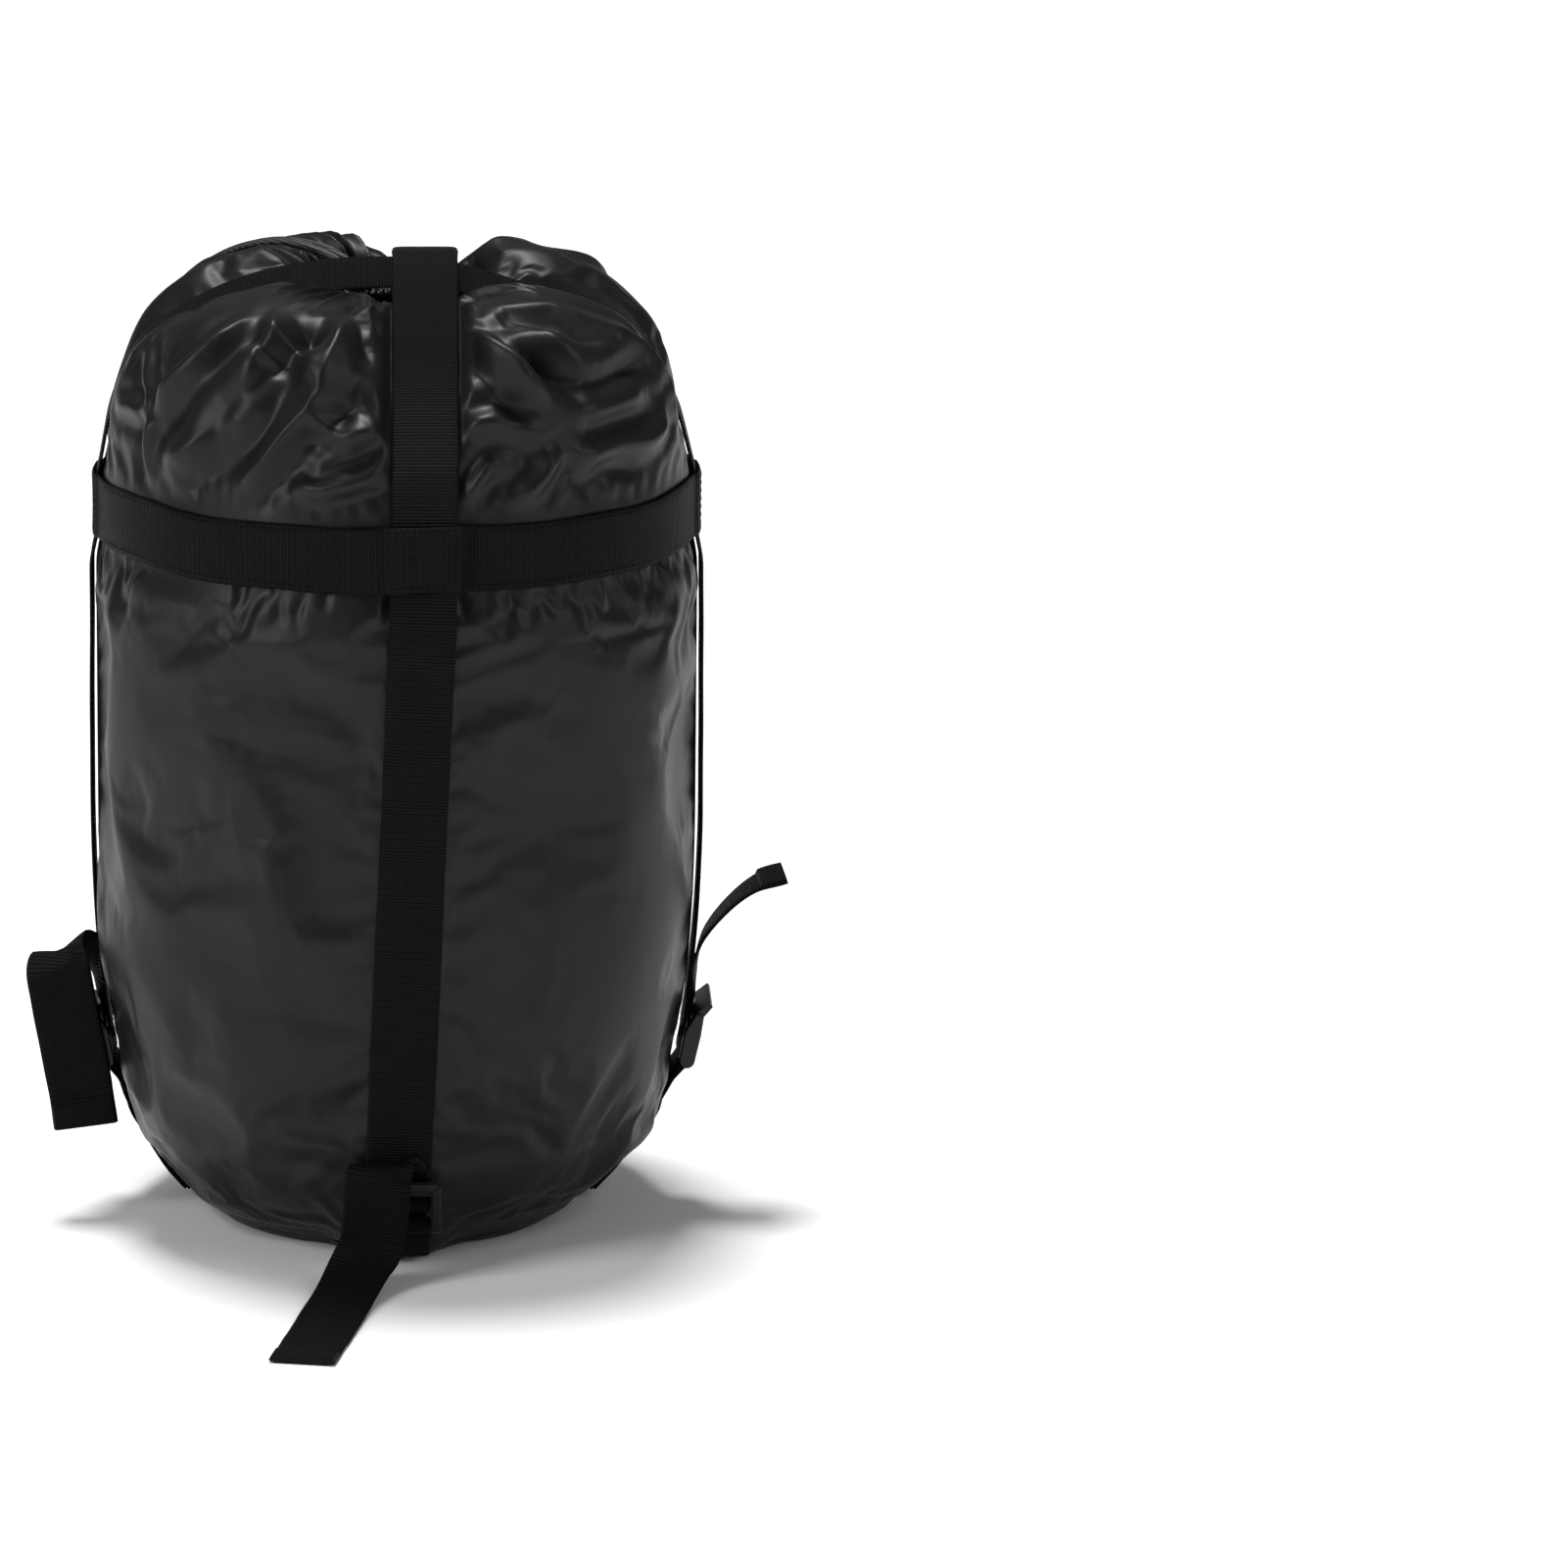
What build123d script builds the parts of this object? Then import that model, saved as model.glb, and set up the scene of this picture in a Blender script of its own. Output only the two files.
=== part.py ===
from build123d import *
import os
from math import cos, hypot, pi, radians, sin, sqrt, tan

# A round stuff sack that four webbing straps squeeze from the top. It stands on its
# bottom panel: the origin is the middle of that panel, +Z is up, and the front is -Y.
# All sizes are in millimetres.

STRIP_STEPS = 20  # points along each curved edge when a line is made into a strip

# Sack
BODY_RADIUS = 118
FLOOR_RADIUS = 78  # flat part that stands on the ground
FULL_HEIGHT = 170  # the side wall reaches its full radius here
BULGE = 2.37  # how quickly the foot of the wall rounds out
FABRIC = 1.5
SEAM_HEIGHT = 3.5  # the bottom panel meets the wall here
GAP = 0.3  # between soft pieces that lie on each other
TAPE_WIDTH = 8  # binding over the bottom seam
TAPE = 1
TAPE_INSET = 2.5  # from the outside of the wall to the middle of the tape
TAPE_RISE = 5  # from the seam to the middle of the tape

# Webbing
WEBBING_WIDTH = 25
WEBBING = 1.5
RING_LOW = 272.5
RING_MIDDLE = RING_LOW + WEBBING_WIDTH / 2
STRAP_SHIFT = 11  # the front-to-back strap crosses the top this far right of the middle
STRAP_JOIN = 0.8  # between a strap run and the strap over the top, under the ring band
OVER_RISE = 0.2  # extra room between the dome and a strap over it
BAND_GAP = 0.2  # between the wall and the ring band
BAND_SHOULDER = 2  # the band goes on this far past each edge of a strap before it steps in
BAND_TUNNEL = 0.8  # room beside each edge of a strap under the band
BAND_OVERLAP = 41  # length over which the band's two ends lie on each other in front
BAND_OVERLAP_MIDDLE = 3.5

# Dome above the ring band
DOME_OUTLINE = [(BODY_RADIUS, 298), (110.5, 322), (101, 347), (76, 366.5), (50, 373)]
MOUTH_OUTLINE = [(50, 373), (32, 370.5), (19.2, 362.5)]
TOP_HEIGHT = DOME_OUTLINE[-1][1]
HEM_RADIUS = 15
HEM_HEIGHT = 362.5
HEM_OUTER = 3.2  # radius of the rolled channel
HEM_PLAY = 0.3  # between the channel and the cord in it
CORD_DIAMETER = 3

# Ladder locks, in each lock's own plane: outwards from the sack, then up along the strap
FRONT_LOCK_HEIGHT = 30
SIDE_LOCK_HEIGHT = 72
BAR_LENGTH = WEBBING_WIDTH + 1.4
RAIL = 4
LOCK_WIDTH = BAR_LENGTH + 2 * RAIL
BAR_PLAY = 0.15  # between a bar and the webbing round it
TAB_BAR = (4.0, -10)
TAB_BAR_RADIUS = 2.0
MIDDLE_BAR_RADIUS = 1.8
MIDDLE_BAR = (GAP + WEBBING + BAR_PLAY + MIDDLE_BAR_RADIUS, 0)
WRAP_INNER = MIDDLE_BAR_RADIUS + BAR_PLAY
WRAP_OUTER = WRAP_INNER + WEBBING
RAIL_OUTLINE = [(*TAB_BAR, 3.2), (4.6, 1, 3.4), (6.0, 8.0, 2.0)]  # circles: x, y, radius
RAIL_ROUNDING = 0.9
LIP = [(4.0, 6.0), (7.0, 5.4), (8.0, 8.6), (10.8, 13.2), (9.4, 14.4), (4.9, 9.6)]
LIP_ROUNDING = 0.6
LIP_FACE = (LIP[2], LIP[3])  # the side of the lip that the thumb lifts
GRIP_PLACES = (0.35, 0.6, 0.85)  # shares of the way up that side
GRIP_RADIUS = 0.45
RUN_START = 0.7  # the strap run ends this far above the middle bar, where the wrap begins
TAIL_EXIT = 13  # how far above the middle bar the strap tail leaves the lock
TAIL_GAP = 0.8  # between that end of the wrap and the tail
RUN_TO_WRAP = 0.1  # between the strap run's plane and the wrap

# Loose tails
FLOOR_CLEARANCE = 0.6
# A tail that flops over its lock: (outwards, upwards from where it leaves the lock) ...
FLOP = [(0.3, 1), (3, 6.5), (7.5, 8.5), (13.5, 2), (16.5, -15)]
# ... and then lies on the ground: (outwards, height)
FLOOR_REACH = [(24, 10), (42, 1.6), (62, FLOOR_CLEARANCE)]
FRONT_TAIL_TURN = -10.5  # degrees that it veers
FRONT_TAIL_REACH = 150
BACK_TAIL_TURN = 14
BACK_TAIL_REACH = 88
# The right tail springs away: (outwards, upwards) from where it leaves the lock
RIGHT_TAIL = [(0, 0), (2, 12), (6, 21.5), (14.5, 35), (25.5, 43.5), (36.5, 47.5)]
# The left tail rises a little, then folds and hangs in an upright plane: (x, height)
LEFT_RISE = [(0, 0), (-1, 10), (-8, 24)]
LEFT_HANG_Y = -20
LEFT_HANG = [(-141.5, 97.6), (-124, 112), (-108.5, 34), (-132.7, 29)]
LEFT_FOLD = [(-128, 102), (-123.8, 102), (-123.8, 109.5), (-127, 109.5)]
LEFT_FOLD_DEPTH = 10

# Drawcord lock, measured along its own push axis, which points away from the sack
LOCK_AZIMUTH = 143
LOCK_HEIGHT = 245
CORD_RADIUS_AT_LOCK = 128.5
BARREL_RADIUS = 7.5
BARREL_INNER = 119.2
BARREL_OUTER = 137
PLUNGER_RADIUS = 5.3
PLUNGER_INNER = 125
PLUNGER_OUTER = 142.5
SPRING_FLOOR = 120.8
SPRING_WIRE = 0.6
SPRING_PITCH = 1.2
SPRING_RADIUS = 3.6
SPRING_PLAY = 0.05  # at each end of the spring
BORE_PLAY = 0.2  # between the plunger and the barrel
BARREL_ROUNDING = 1.2
PLUNGER_ROUNDING = 0.9
SLOT_ROUNDING = 1.5
BARREL_SLOT = (-2.2, 2.2)  # along the push axis from the cord
PLUNGER_SLOT = (-2.1, 4.8)  # longer, so that the button can be pressed
CORD_SPREAD = 2.3  # from the middle of the pair to each strand
BEND_SHARE = 0.45  # how much of the shorter run beside a corner its bend takes
MOUTH_SPREAD = 1.7  # the same where the strands leave the mouth
KNOT_RADIUS = 4.6
KNOT_END = 12  # length of each cord end below the knot
KNOT_END_MIDDLE = 4  # how far below the knot the middle of each end is

# Route of the drawcord pair past the hem: azimuth, radius, height
CORD_ROUTE = [
    (135, 16.8, 365.6),
    (135, 24.0, 373.5),
    (137, 38.0, 379.3),
    (139, 60.0, 380.8),
    (141, 80.0, 376.0),
    (142, 98.0, 365.5),
    (143, 112.0, 346.0),
    (143, 120.5, 322.0),
    (143, 126.3, 297.0),
    (143, 128.3, 270.0),
    (143, 128.7, 236.0),
    (143, 128.2, 203.0),
    (143, 126.6, 174.0),
    (143, 124.4, 148.0),
]

SIDES = {"front": -90, "right": 0, "back": 90, "left": 180}

os.makedirs("parts", exist_ok=True)


def save(piece, name):
    """Label a finished sub-part and write its STEP file."""
    piece.part.label = name
    export_step(piece.part, f"parts/{name}.step")


def wall_radius(height):
    """Outer radius of the sack's side wall at a height above the ground."""
    if height >= FULL_HEIGHT:
        return BODY_RADIUS
    rise = sqrt(1 - (1 - height / FULL_HEIGHT) ** BULGE)
    return FLOOR_RADIUS + (BODY_RADIUS - FLOOR_RADIUS) * rise


def wall_points(low, high, lift=0, count=7):
    """Points up the wall, closer together near the ground, moved out by lift."""
    points = []
    for k in range(count + 1):
        height = low + (high - low) * (k / count) ** 1.5
        along, up = wall_direction(height)
        points.append((wall_radius(height) + lift * up, height - lift * along))
    return points


def wall_direction(height):
    """Unit vector up along the wall, as (outwards, up)."""
    step = 0.05
    out = wall_radius(height + step) - wall_radius(height)
    length = hypot(out, step)
    return out / length, step / length


def thicken(edges, distance):
    """Close a smooth line of edges into a strip that lies on its left side."""
    twins = []
    for edge in edges:
        moved = []
        for k in range(STRIP_STEPS + 1):
            here, along = edge @ (k / STRIP_STEPS), edge % (k / STRIP_STEPS)
            moved.append((here.X - along.Y * distance, here.Y + along.X * distance))
        if twins:
            moved[0] = twins[-1] @ 1
        if edge.geom_type == GeomType.LINE:
            twins.append(Line(moved[0], moved[-1]))
        else:
            twins.append(Spline(*moved))
    Line(edges[0] @ 0, twins[0] @ 0)
    Line(edges[-1] @ 1, twins[-1] @ 1)


def direction(azimuth):
    """Unit vector away from the sack's axis."""
    return cos(radians(azimuth)), sin(radians(azimuth))


def radial_plane(azimuth):
    """Upright plane through the axis: sketch X runs outwards and sketch Y runs up."""
    x, y = direction(azimuth)
    return Plane(origin=(0, 0, 0), x_dir=(x, y, 0), z_dir=(y, -x, 0))


def lock_height(side):
    """Height of a ladder lock's middle bar."""
    return FRONT_LOCK_HEIGHT if side in ("front", "back") else SIDE_LOCK_HEIGHT


def lock_plane(side):
    """Plane of one ladder lock, on the wall: X outwards, Y up along the strap."""
    x, y = direction(SIDES[side])
    height = lock_height(side)
    along, up = wall_direction(height)
    radius = wall_radius(height)
    return Plane(
        origin=(x * radius, y * radius, height),
        x_dir=(x * up, y * up, -along),
        z_dir=(y, -x, 0),
    )


def strap_shift(side):
    """How far right of the middle this strap crosses the ring band."""
    return STRAP_SHIFT if side in ("front", "back") else 0


# Base: the fabric below the ring band

with BuildPart() as bottom_panel:
    with BuildSketch(Plane.XZ):
        with BuildLine():
            rim = Spline(*wall_points(0, SEAM_HEIGHT, count=3), tangents=[(1, 0), (0.8, 0.6)])
            Polyline(
                rim @ 1,
                (wall_radius(SEAM_HEIGHT) - FABRIC, SEAM_HEIGHT),
                (FLOOR_RADIUS, FABRIC),
                (0, FABRIC),
                (0, 0),
                rim @ 0,
            )
        make_face()
    revolve(axis=Axis.Z)
save(bottom_panel, "bottom_panel")

with BuildPart() as sack_body:
    with BuildSketch(Plane.XZ):
        with BuildLine():
            foot = Spline(*wall_points(SEAM_HEIGHT + 0.1, FULL_HEIGHT))
            side = Line(foot @ 1, (BODY_RADIUS, RING_LOW - GAP))
            thicken([foot, side], FABRIC)
        make_face()
    revolve(axis=Axis.Z)
save(sack_body, "sack_body")

with BuildPart() as seam_tape:
    with BuildSketch(Plane.XZ):
        with Locations((wall_radius(SEAM_HEIGHT) - TAPE_INSET, SEAM_HEIGHT + TAPE_RISE)):
            Rectangle(TAPE, TAPE_WIDTH)
    revolve(axis=Axis.Z)
save(seam_tape, "seam_tape")

# Cap: the gathered fabric above the ring band, and the webbing sewn to it

with BuildPart() as sack_dome:
    with BuildSketch(Plane.XZ):
        with BuildLine():
            side = Line((BODY_RADIUS, RING_LOW), DOME_OUTLINE[0])
            shoulder = Spline(*DOME_OUTLINE, tangents=[(0, 1), (-1, 0)])
            throat = Spline(*MOUTH_OUTLINE, tangents=[(-1, 0), (-0.7, -1)])
            thicken([side, shoulder, throat], FABRIC)
        make_face()
    revolve(axis=Axis.Z)
save(sack_dome, "sack_dome")


def strap_outline(side, width, depth, inset, mode=Mode.ADD):
    """Plan of the place where a strap passes under the ring band, into the open sketch."""
    x, y = direction(SIDES[side])
    radius = BODY_RADIUS + inset
    with Locations((x * radius + strap_shift(side), y * radius)):
        Rectangle(depth, width, rotation=SIDES[side], mode=mode)


# The band stands out over each strap that runs under it, and its ends overlap in front.
BAND_INNER = BODY_RADIUS + BAND_GAP
STRAP_OUTER = BODY_RADIUS + GAP + WEBBING
with BuildPart() as ring_band:
    with BuildSketch(Plane.XY.offset(RING_LOW)):
        Circle(BAND_INNER + WEBBING)
        for side_name in SIDES:
            strap_outline(side_name, WEBBING_WIDTH + 2 * BAND_SHOULDER, 4 * WEBBING, WEBBING)
        with Locations((BAND_OVERLAP_MIDDLE, -STRAP_OUTER)):
            Rectangle(BAND_OVERLAP, 2 * (2 * WEBBING + BAND_GAP + GAP))
        Circle(BAND_INNER, mode=Mode.SUBTRACT)
        for side_name in SIDES:
            strap_outline(side_name, WEBBING_WIDTH + 2 * BAND_TUNNEL, 2.5 * WEBBING, WEBBING / 2,
                          mode=Mode.SUBTRACT)
    extrude(amount=WEBBING_WIDTH)
save(ring_band, "ring_band")


def strap_over(top, azimuth, shift):
    """A strap over the dome, from the ring band to the ring band, with its flat at top."""
    start = (BODY_RADIUS + GAP, RING_MIDDLE + STRAP_JOIN)
    shoulder = [
        (x + GAP, z + OVER_RISE + (top - TOP_HEIGHT) * (BODY_RADIUS - x) / BODY_RADIUS)
        for x, z in DOME_OUTLINE[:-1]
    ]
    with BuildPart() as strap:
        with BuildSketch(radial_plane(azimuth)):
            with BuildLine():
                side = Line(start, shoulder[0])
                bend = Spline(*shoulder, (DOME_OUTLINE[-1][0], top), tangents=[(0, 1), (-1, 0)])
                flat = Line(bend @ 1, (0, top))
                thicken([side, bend, flat], -WEBBING)
            make_face()
            mirror(about=Plane.YZ)
        extrude(amount=WEBBING_WIDTH / 2, both=True)
    strap.part = strap.part.moved(Location((shift, 0, 0)))
    return strap


strap_over_side = strap_over(TOP_HEIGHT + GAP, 0, 0)
save(strap_over_side, "strap_over_side")

strap_over_front = strap_over(TOP_HEIGHT + 2 * GAP + WEBBING, 90, STRAP_SHIFT)
save(strap_over_front, "strap_over_front")

# Mouth: a sewn channel with the drawcord in it

with BuildPart() as mouth_hem:
    with BuildSketch(Plane.XZ):
        with Locations((HEM_RADIUS, HEM_HEIGHT)):
            Circle(HEM_OUTER)
            Circle(CORD_DIAMETER / 2 + HEM_PLAY, mode=Mode.SUBTRACT)
    revolve(axis=Axis.Z)
save(mouth_hem, "mouth_hem")

with BuildPart() as hem_cord:
    with BuildSketch(Plane.XZ):
        with Locations((HEM_RADIUS, HEM_HEIGHT)):
            Circle(CORD_DIAMETER / 2)
    revolve(axis=Axis.Z)
save(hem_cord, "hem_cord")


def strand_points(side_sign):
    """Route of one of the two strands, which lie side by side."""
    points = []
    for azimuth, radius, height in CORD_ROUTE:
        x, y = direction(azimuth)
        spread = side_sign * min(CORD_SPREAD, MOUTH_SPREAD + (radius - CORD_ROUTE[0][1]) / 20)
        points.append(Vector(x * radius - y * spread, y * radius + x * spread, height))
    return points


def bend_radii(points):
    """One radius for each corner, as large as the two runs beside it allow."""
    radii = []
    for before, here, after in zip(points, points[1:], points[2:]):
        turn = (here - before).get_angle(after - here)
        shorter = min((here - before).length, (after - here).length)
        radii.append(BEND_SHARE * shorter / tan(radians(turn / 2)))
    return radii


for name, side_sign in (("drawcord_a", 1), ("drawcord_b", -1)):
    points = strand_points(side_sign)
    radii = bend_radii(points)
    with BuildPart() as strand:
        with BuildLine():
            route = FilletPolyline(*points, radius=radii)
        with BuildSketch(Plane(origin=route @ 0, z_dir=route % 0)):
            Circle(CORD_DIAMETER / 2)
        sweep()
    section = pi * (CORD_DIAMETER / 2) ** 2
    print(name, "length", round(route.length, 1), "volume", round(strand.part.volume, 1),
          "section x length", round(section * route.length, 1))
    print(name, "radii", [round(r, 1) for r in radii])
    save(strand, name)

knot_azimuth, knot_radius, knot_top = CORD_ROUTE[-1]
knot_x, knot_y = direction(knot_azimuth)
with BuildPart() as cord_knot:
    with Locations((knot_x * knot_radius, knot_y * knot_radius, knot_top - KNOT_RADIUS)):
        Sphere(KNOT_RADIUS)
    for side_sign in (1, -1):
        x = knot_x * knot_radius - knot_y * CORD_SPREAD * side_sign
        y = knot_y * knot_radius + knot_x * CORD_SPREAD * side_sign
        with Locations((x, y, knot_top - 2 * KNOT_RADIUS - KNOT_END_MIDDLE)):
            Cylinder(CORD_DIAMETER / 2, KNOT_END)
save(cord_knot, "cord_knot")

# Cord lock: barrel and plunger with a slot for the two strands through both


def along_lock(radius):
    """Plane square to the lock's push axis, at a radius from the sack's axis."""
    x, y = direction(LOCK_AZIMUTH)
    return Plane(origin=(x * radius, y * radius, LOCK_HEIGHT), x_dir=(-y, x, 0), z_dir=(x, y, 0))


def cord_slot(low, high):
    """Outline of the slot for the strands, seen along them, from low to high past the cord."""
    x, y = direction(LOCK_AZIMUTH)
    middle = CORD_RADIUS_AT_LOCK + (low + high) / 2
    with BuildSketch(Plane(origin=(x * middle, y * middle, LOCK_HEIGHT), x_dir=(-y, x, 0))) as slot:
        RectangleRounded(2 * CORD_SPREAD + CORD_DIAMETER + 1, high - low, SLOT_ROUNDING)
    return slot.sketch


with BuildPart() as lock_barrel:
    with BuildSketch(along_lock(BARREL_INNER)):
        Circle(BARREL_RADIUS)
    extrude(amount=BARREL_OUTER - BARREL_INNER)
    fillet(lock_barrel.edges().filter_by(GeomType.CIRCLE), BARREL_ROUNDING)
    with BuildSketch(along_lock(SPRING_FLOOR)):
        Circle(PLUNGER_RADIUS + BORE_PLAY)
    extrude(amount=BARREL_OUTER - SPRING_FLOOR, mode=Mode.SUBTRACT)
    slot = cord_slot(*BARREL_SLOT)
    extrude(slot, amount=2 * BARREL_RADIUS, both=True, mode=Mode.SUBTRACT)
save(lock_barrel, "lock_barrel")

with BuildPart() as lock_plunger:
    with BuildSketch(along_lock(PLUNGER_INNER)):
        Circle(PLUNGER_RADIUS)
    extrude(amount=PLUNGER_OUTER - PLUNGER_INNER)
    fillet(lock_plunger.edges().filter_by(GeomType.CIRCLE), PLUNGER_ROUNDING)
    slot = cord_slot(*PLUNGER_SLOT)
    extrude(slot, amount=2 * BARREL_RADIUS, both=True, mode=Mode.SUBTRACT)
save(lock_plunger, "lock_plunger")

spring_base = along_lock(SPRING_FLOOR + SPRING_WIRE / 2 + SPRING_PLAY)
with BuildPart() as lock_spring:
    with BuildLine():
        coil = Helix(
            pitch=SPRING_PITCH,
            height=PLUNGER_INNER - SPRING_FLOOR - SPRING_WIRE - 2 * SPRING_PLAY,
            radius=SPRING_RADIUS,
            center=spring_base.origin,
            direction=spring_base.z_dir,
        )
    with BuildSketch(Plane(origin=coil @ 0, z_dir=coil % 0)):
        Circle(SPRING_WIRE / 2)
    sweep(is_frenet=True)
save(lock_spring, "lock_spring")

# Ladder locks and the webbing round them


def ladder_lock(side):
    """Two rails, three bars and a lip that lifts to let the strap go."""
    plane = lock_plane(side)
    with BuildPart() as lock:
        for edge in (-LOCK_WIDTH / 2, LOCK_WIDTH / 2 - RAIL):
            with BuildSketch(plane.offset(edge)):
                for x, y, radius in RAIL_OUTLINE:
                    with Locations((x, y)):
                        Circle(radius)
                make_hull()
            extrude(amount=RAIL)
        rims = lock.edges().filter_by(Axis(plane.origin, plane.z_dir), reverse=True)
        fillet(rims, RAIL_ROUNDING)
        with BuildSketch(plane):
            with Locations(TAB_BAR):
                Circle(TAB_BAR_RADIUS)
            with Locations(MIDDLE_BAR):
                Circle(MIDDLE_BAR_RADIUS)
        extrude(amount=BAR_LENGTH / 2 + 1, both=True)
        with BuildSketch(plane):
            Polygon(*LIP, align=None)
            fillet(vertices(), LIP_ROUNDING)
        extrude(amount=LOCK_WIDTH / 2 - 1, both=True)
        with BuildSketch(plane):
            (x_low, y_low), (x_high, y_high) = LIP_FACE
            for share in GRIP_PLACES:
                x, y = x_low + (x_high - x_low) * share, y_low + (y_high - y_low) * share
                with Locations((x, y)):
                    Circle(GRIP_RADIUS)
        extrude(amount=LOCK_WIDTH / 2 - 3, both=True)
    return lock


def strap_wrap(side):
    """The strap round the middle bar, back under the lip and out at the top."""
    turn = MIDDLE_BAR[0]
    with BuildPart() as wrap:
        with BuildSketch(lock_plane(side)):
            with Locations(MIDDLE_BAR):
                Circle(WRAP_OUTER)
                Circle(WRAP_INNER, mode=Mode.SUBTRACT)
            with Locations((turn - WRAP_OUTER, 0)):
                Rectangle(WRAP_OUTER, WRAP_OUTER, align=(Align.MIN, Align.MIN), mode=Mode.SUBTRACT)
            with Locations((turn, WRAP_INNER)):
                Rectangle(RUN_TO_WRAP, WEBBING, align=(Align.MAX, Align.MIN))
            with Locations((turn - WEBBING - RUN_TO_WRAP, WRAP_INNER)):
                Rectangle(WEBBING, TAIL_EXIT - WRAP_INNER, align=(Align.MIN, Align.MIN))
        extrude(amount=WEBBING_WIDTH / 2, both=True)
    return wrap


def lock_tab(side):
    """A doubled loop of webbing up from the bottom seam and round the lock's tab bar."""
    plane = lock_plane(side)
    bar = plane.from_local_coords((TAB_BAR[0], TAB_BAR[1], 0))
    top = bar.Z
    with BuildPart() as tab:
        with BuildSketch(radial_plane(SIDES[side])):
            with BuildLine():
                foot = Spline(*wall_points(SEAM_HEIGHT, top, lift=GAP, count=5))
                thicken([foot], -2 * WEBBING)
            make_face()
            with Locations((hypot(bar.X, bar.Y), bar.Z)):
                Circle(TAB_BAR_RADIUS + BAR_PLAY + WEBBING)
                Circle(TAB_BAR_RADIUS + BAR_PLAY, mode=Mode.SUBTRACT)
        extrude(amount=WEBBING_WIDTH / 2, both=True)
    return tab


def strap_run(side):
    """The strap from the ring band down the wall to its ladder lock."""
    height = lock_height(side)
    x, y = direction(SIDES[side])
    lean = strap_shift(side) / (RING_MIDDLE - height)
    up = Vector(lean, 0, 1).normalized()
    plane = Plane(origin=(0, 0, height), x_dir=(x, y, 0), z_dir=Vector(x, y, 0).cross(up))
    low = height + RUN_START
    points = [(r, z - height) for r, z in wall_points(low, FULL_HEIGHT, lift=GAP, count=5)]
    with BuildPart() as run:
        with BuildSketch(plane):
            with BuildLine():
                foot = Spline(*points)
                side = Line(foot @ 1, (BODY_RADIUS + GAP, RING_MIDDLE - height))
                thicken([foot, side], -WEBBING)
            make_face()
        extrude(amount=WEBBING_WIDTH / 2, both=True)
    return run


def tail_start(side):
    """Where the strap leaves the lock, as (radius, height)."""
    leaves = (MIDDLE_BAR[0] - RUN_TO_WRAP, TAIL_EXIT + TAIL_GAP, 0)
    point = lock_plane(side).from_local_coords(leaves)
    return hypot(point.X, point.Y), point.Z


def flat_tail(plane, points):
    """A tail whose flat follows a line of points in a plane."""
    with BuildPart() as tail:
        with BuildSketch(plane):
            with BuildLine():
                line = Spline(*points)
                thicken([line], WEBBING)
            make_face()
        extrude(amount=WEBBING_WIDTH / 2, both=True)
    return tail


def turned_plane(side, turn):
    """A radial plane turned about an upright line through the lock, for a tail that veers."""
    x, y = direction(SIDES[side])
    radius = wall_radius(lock_height(side))
    x_turned, y_turned = direction(SIDES[side] + turn)
    return Plane(
        origin=(x * radius, y * radius, 0),
        x_dir=(x_turned, y_turned, 0),
        z_dir=(y_turned, -x_turned, 0),
    )


def floor_tail(side, turn, reach):
    """A tail that flops over its lock and lies on the ground out to reach."""
    radius, height = tail_start(side)
    out = radius - wall_radius(lock_height(side)) + WEBBING_WIDTH / 2 * sin(radians(abs(turn)))
    points = [(out + away, height + rise) for away, rise in FLOP]
    points += [(out + away, above_ground) for away, above_ground in FLOOR_REACH]
    points.append((out + reach, FLOOR_CLEARANCE))
    return flat_tail(turned_plane(side, turn), points)


strap_tails = {
    "front": floor_tail("front", FRONT_TAIL_TURN, FRONT_TAIL_REACH),
    "back": floor_tail("back", BACK_TAIL_TURN, BACK_TAIL_REACH),
}

radius, height = tail_start("right")
right_line = [(radius + away, height + rise) for away, rise in RIGHT_TAIL]
strap_tails["right"] = flat_tail(radial_plane(SIDES["right"]), right_line)

# The left tail rises from its lock, folds over and hangs with its flat to the front.
radius, height = tail_start("left")
with BuildPart() as left_tail:
    with BuildSketch(Plane.XZ):
        with BuildLine():
            line = Spline(*[(away - radius, height + rise) for away, rise in LEFT_RISE])
            thicken([line], -WEBBING)
        make_face()
    extrude(amount=WEBBING_WIDTH / 2, both=True)
    with BuildSketch(Plane.XZ.offset(-LEFT_HANG_Y)):
        Polygon(*LEFT_HANG, align=None)
    extrude(amount=-WEBBING)
    with BuildSketch(Plane.XZ.offset(-LEFT_HANG_Y)):
        Polygon(*LEFT_FOLD, align=None)
    extrude(amount=-LEFT_FOLD_DEPTH)
strap_tails["left"] = left_tail

for side_name in SIDES:
    save(ladder_lock(side_name), f"ladder_lock_{side_name}")
    save(strap_wrap(side_name), f"strap_wrap_{side_name}")
    save(lock_tab(side_name), f"lock_tab_{side_name}")
    save(strap_run(side_name), f"strap_run_{side_name}")
    save(strap_tails[side_name], f"strap_tail_{side_name}")
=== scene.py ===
"""Looks of the compression sack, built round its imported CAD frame. Metres, +Z up, front -Y."""

import math

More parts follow.
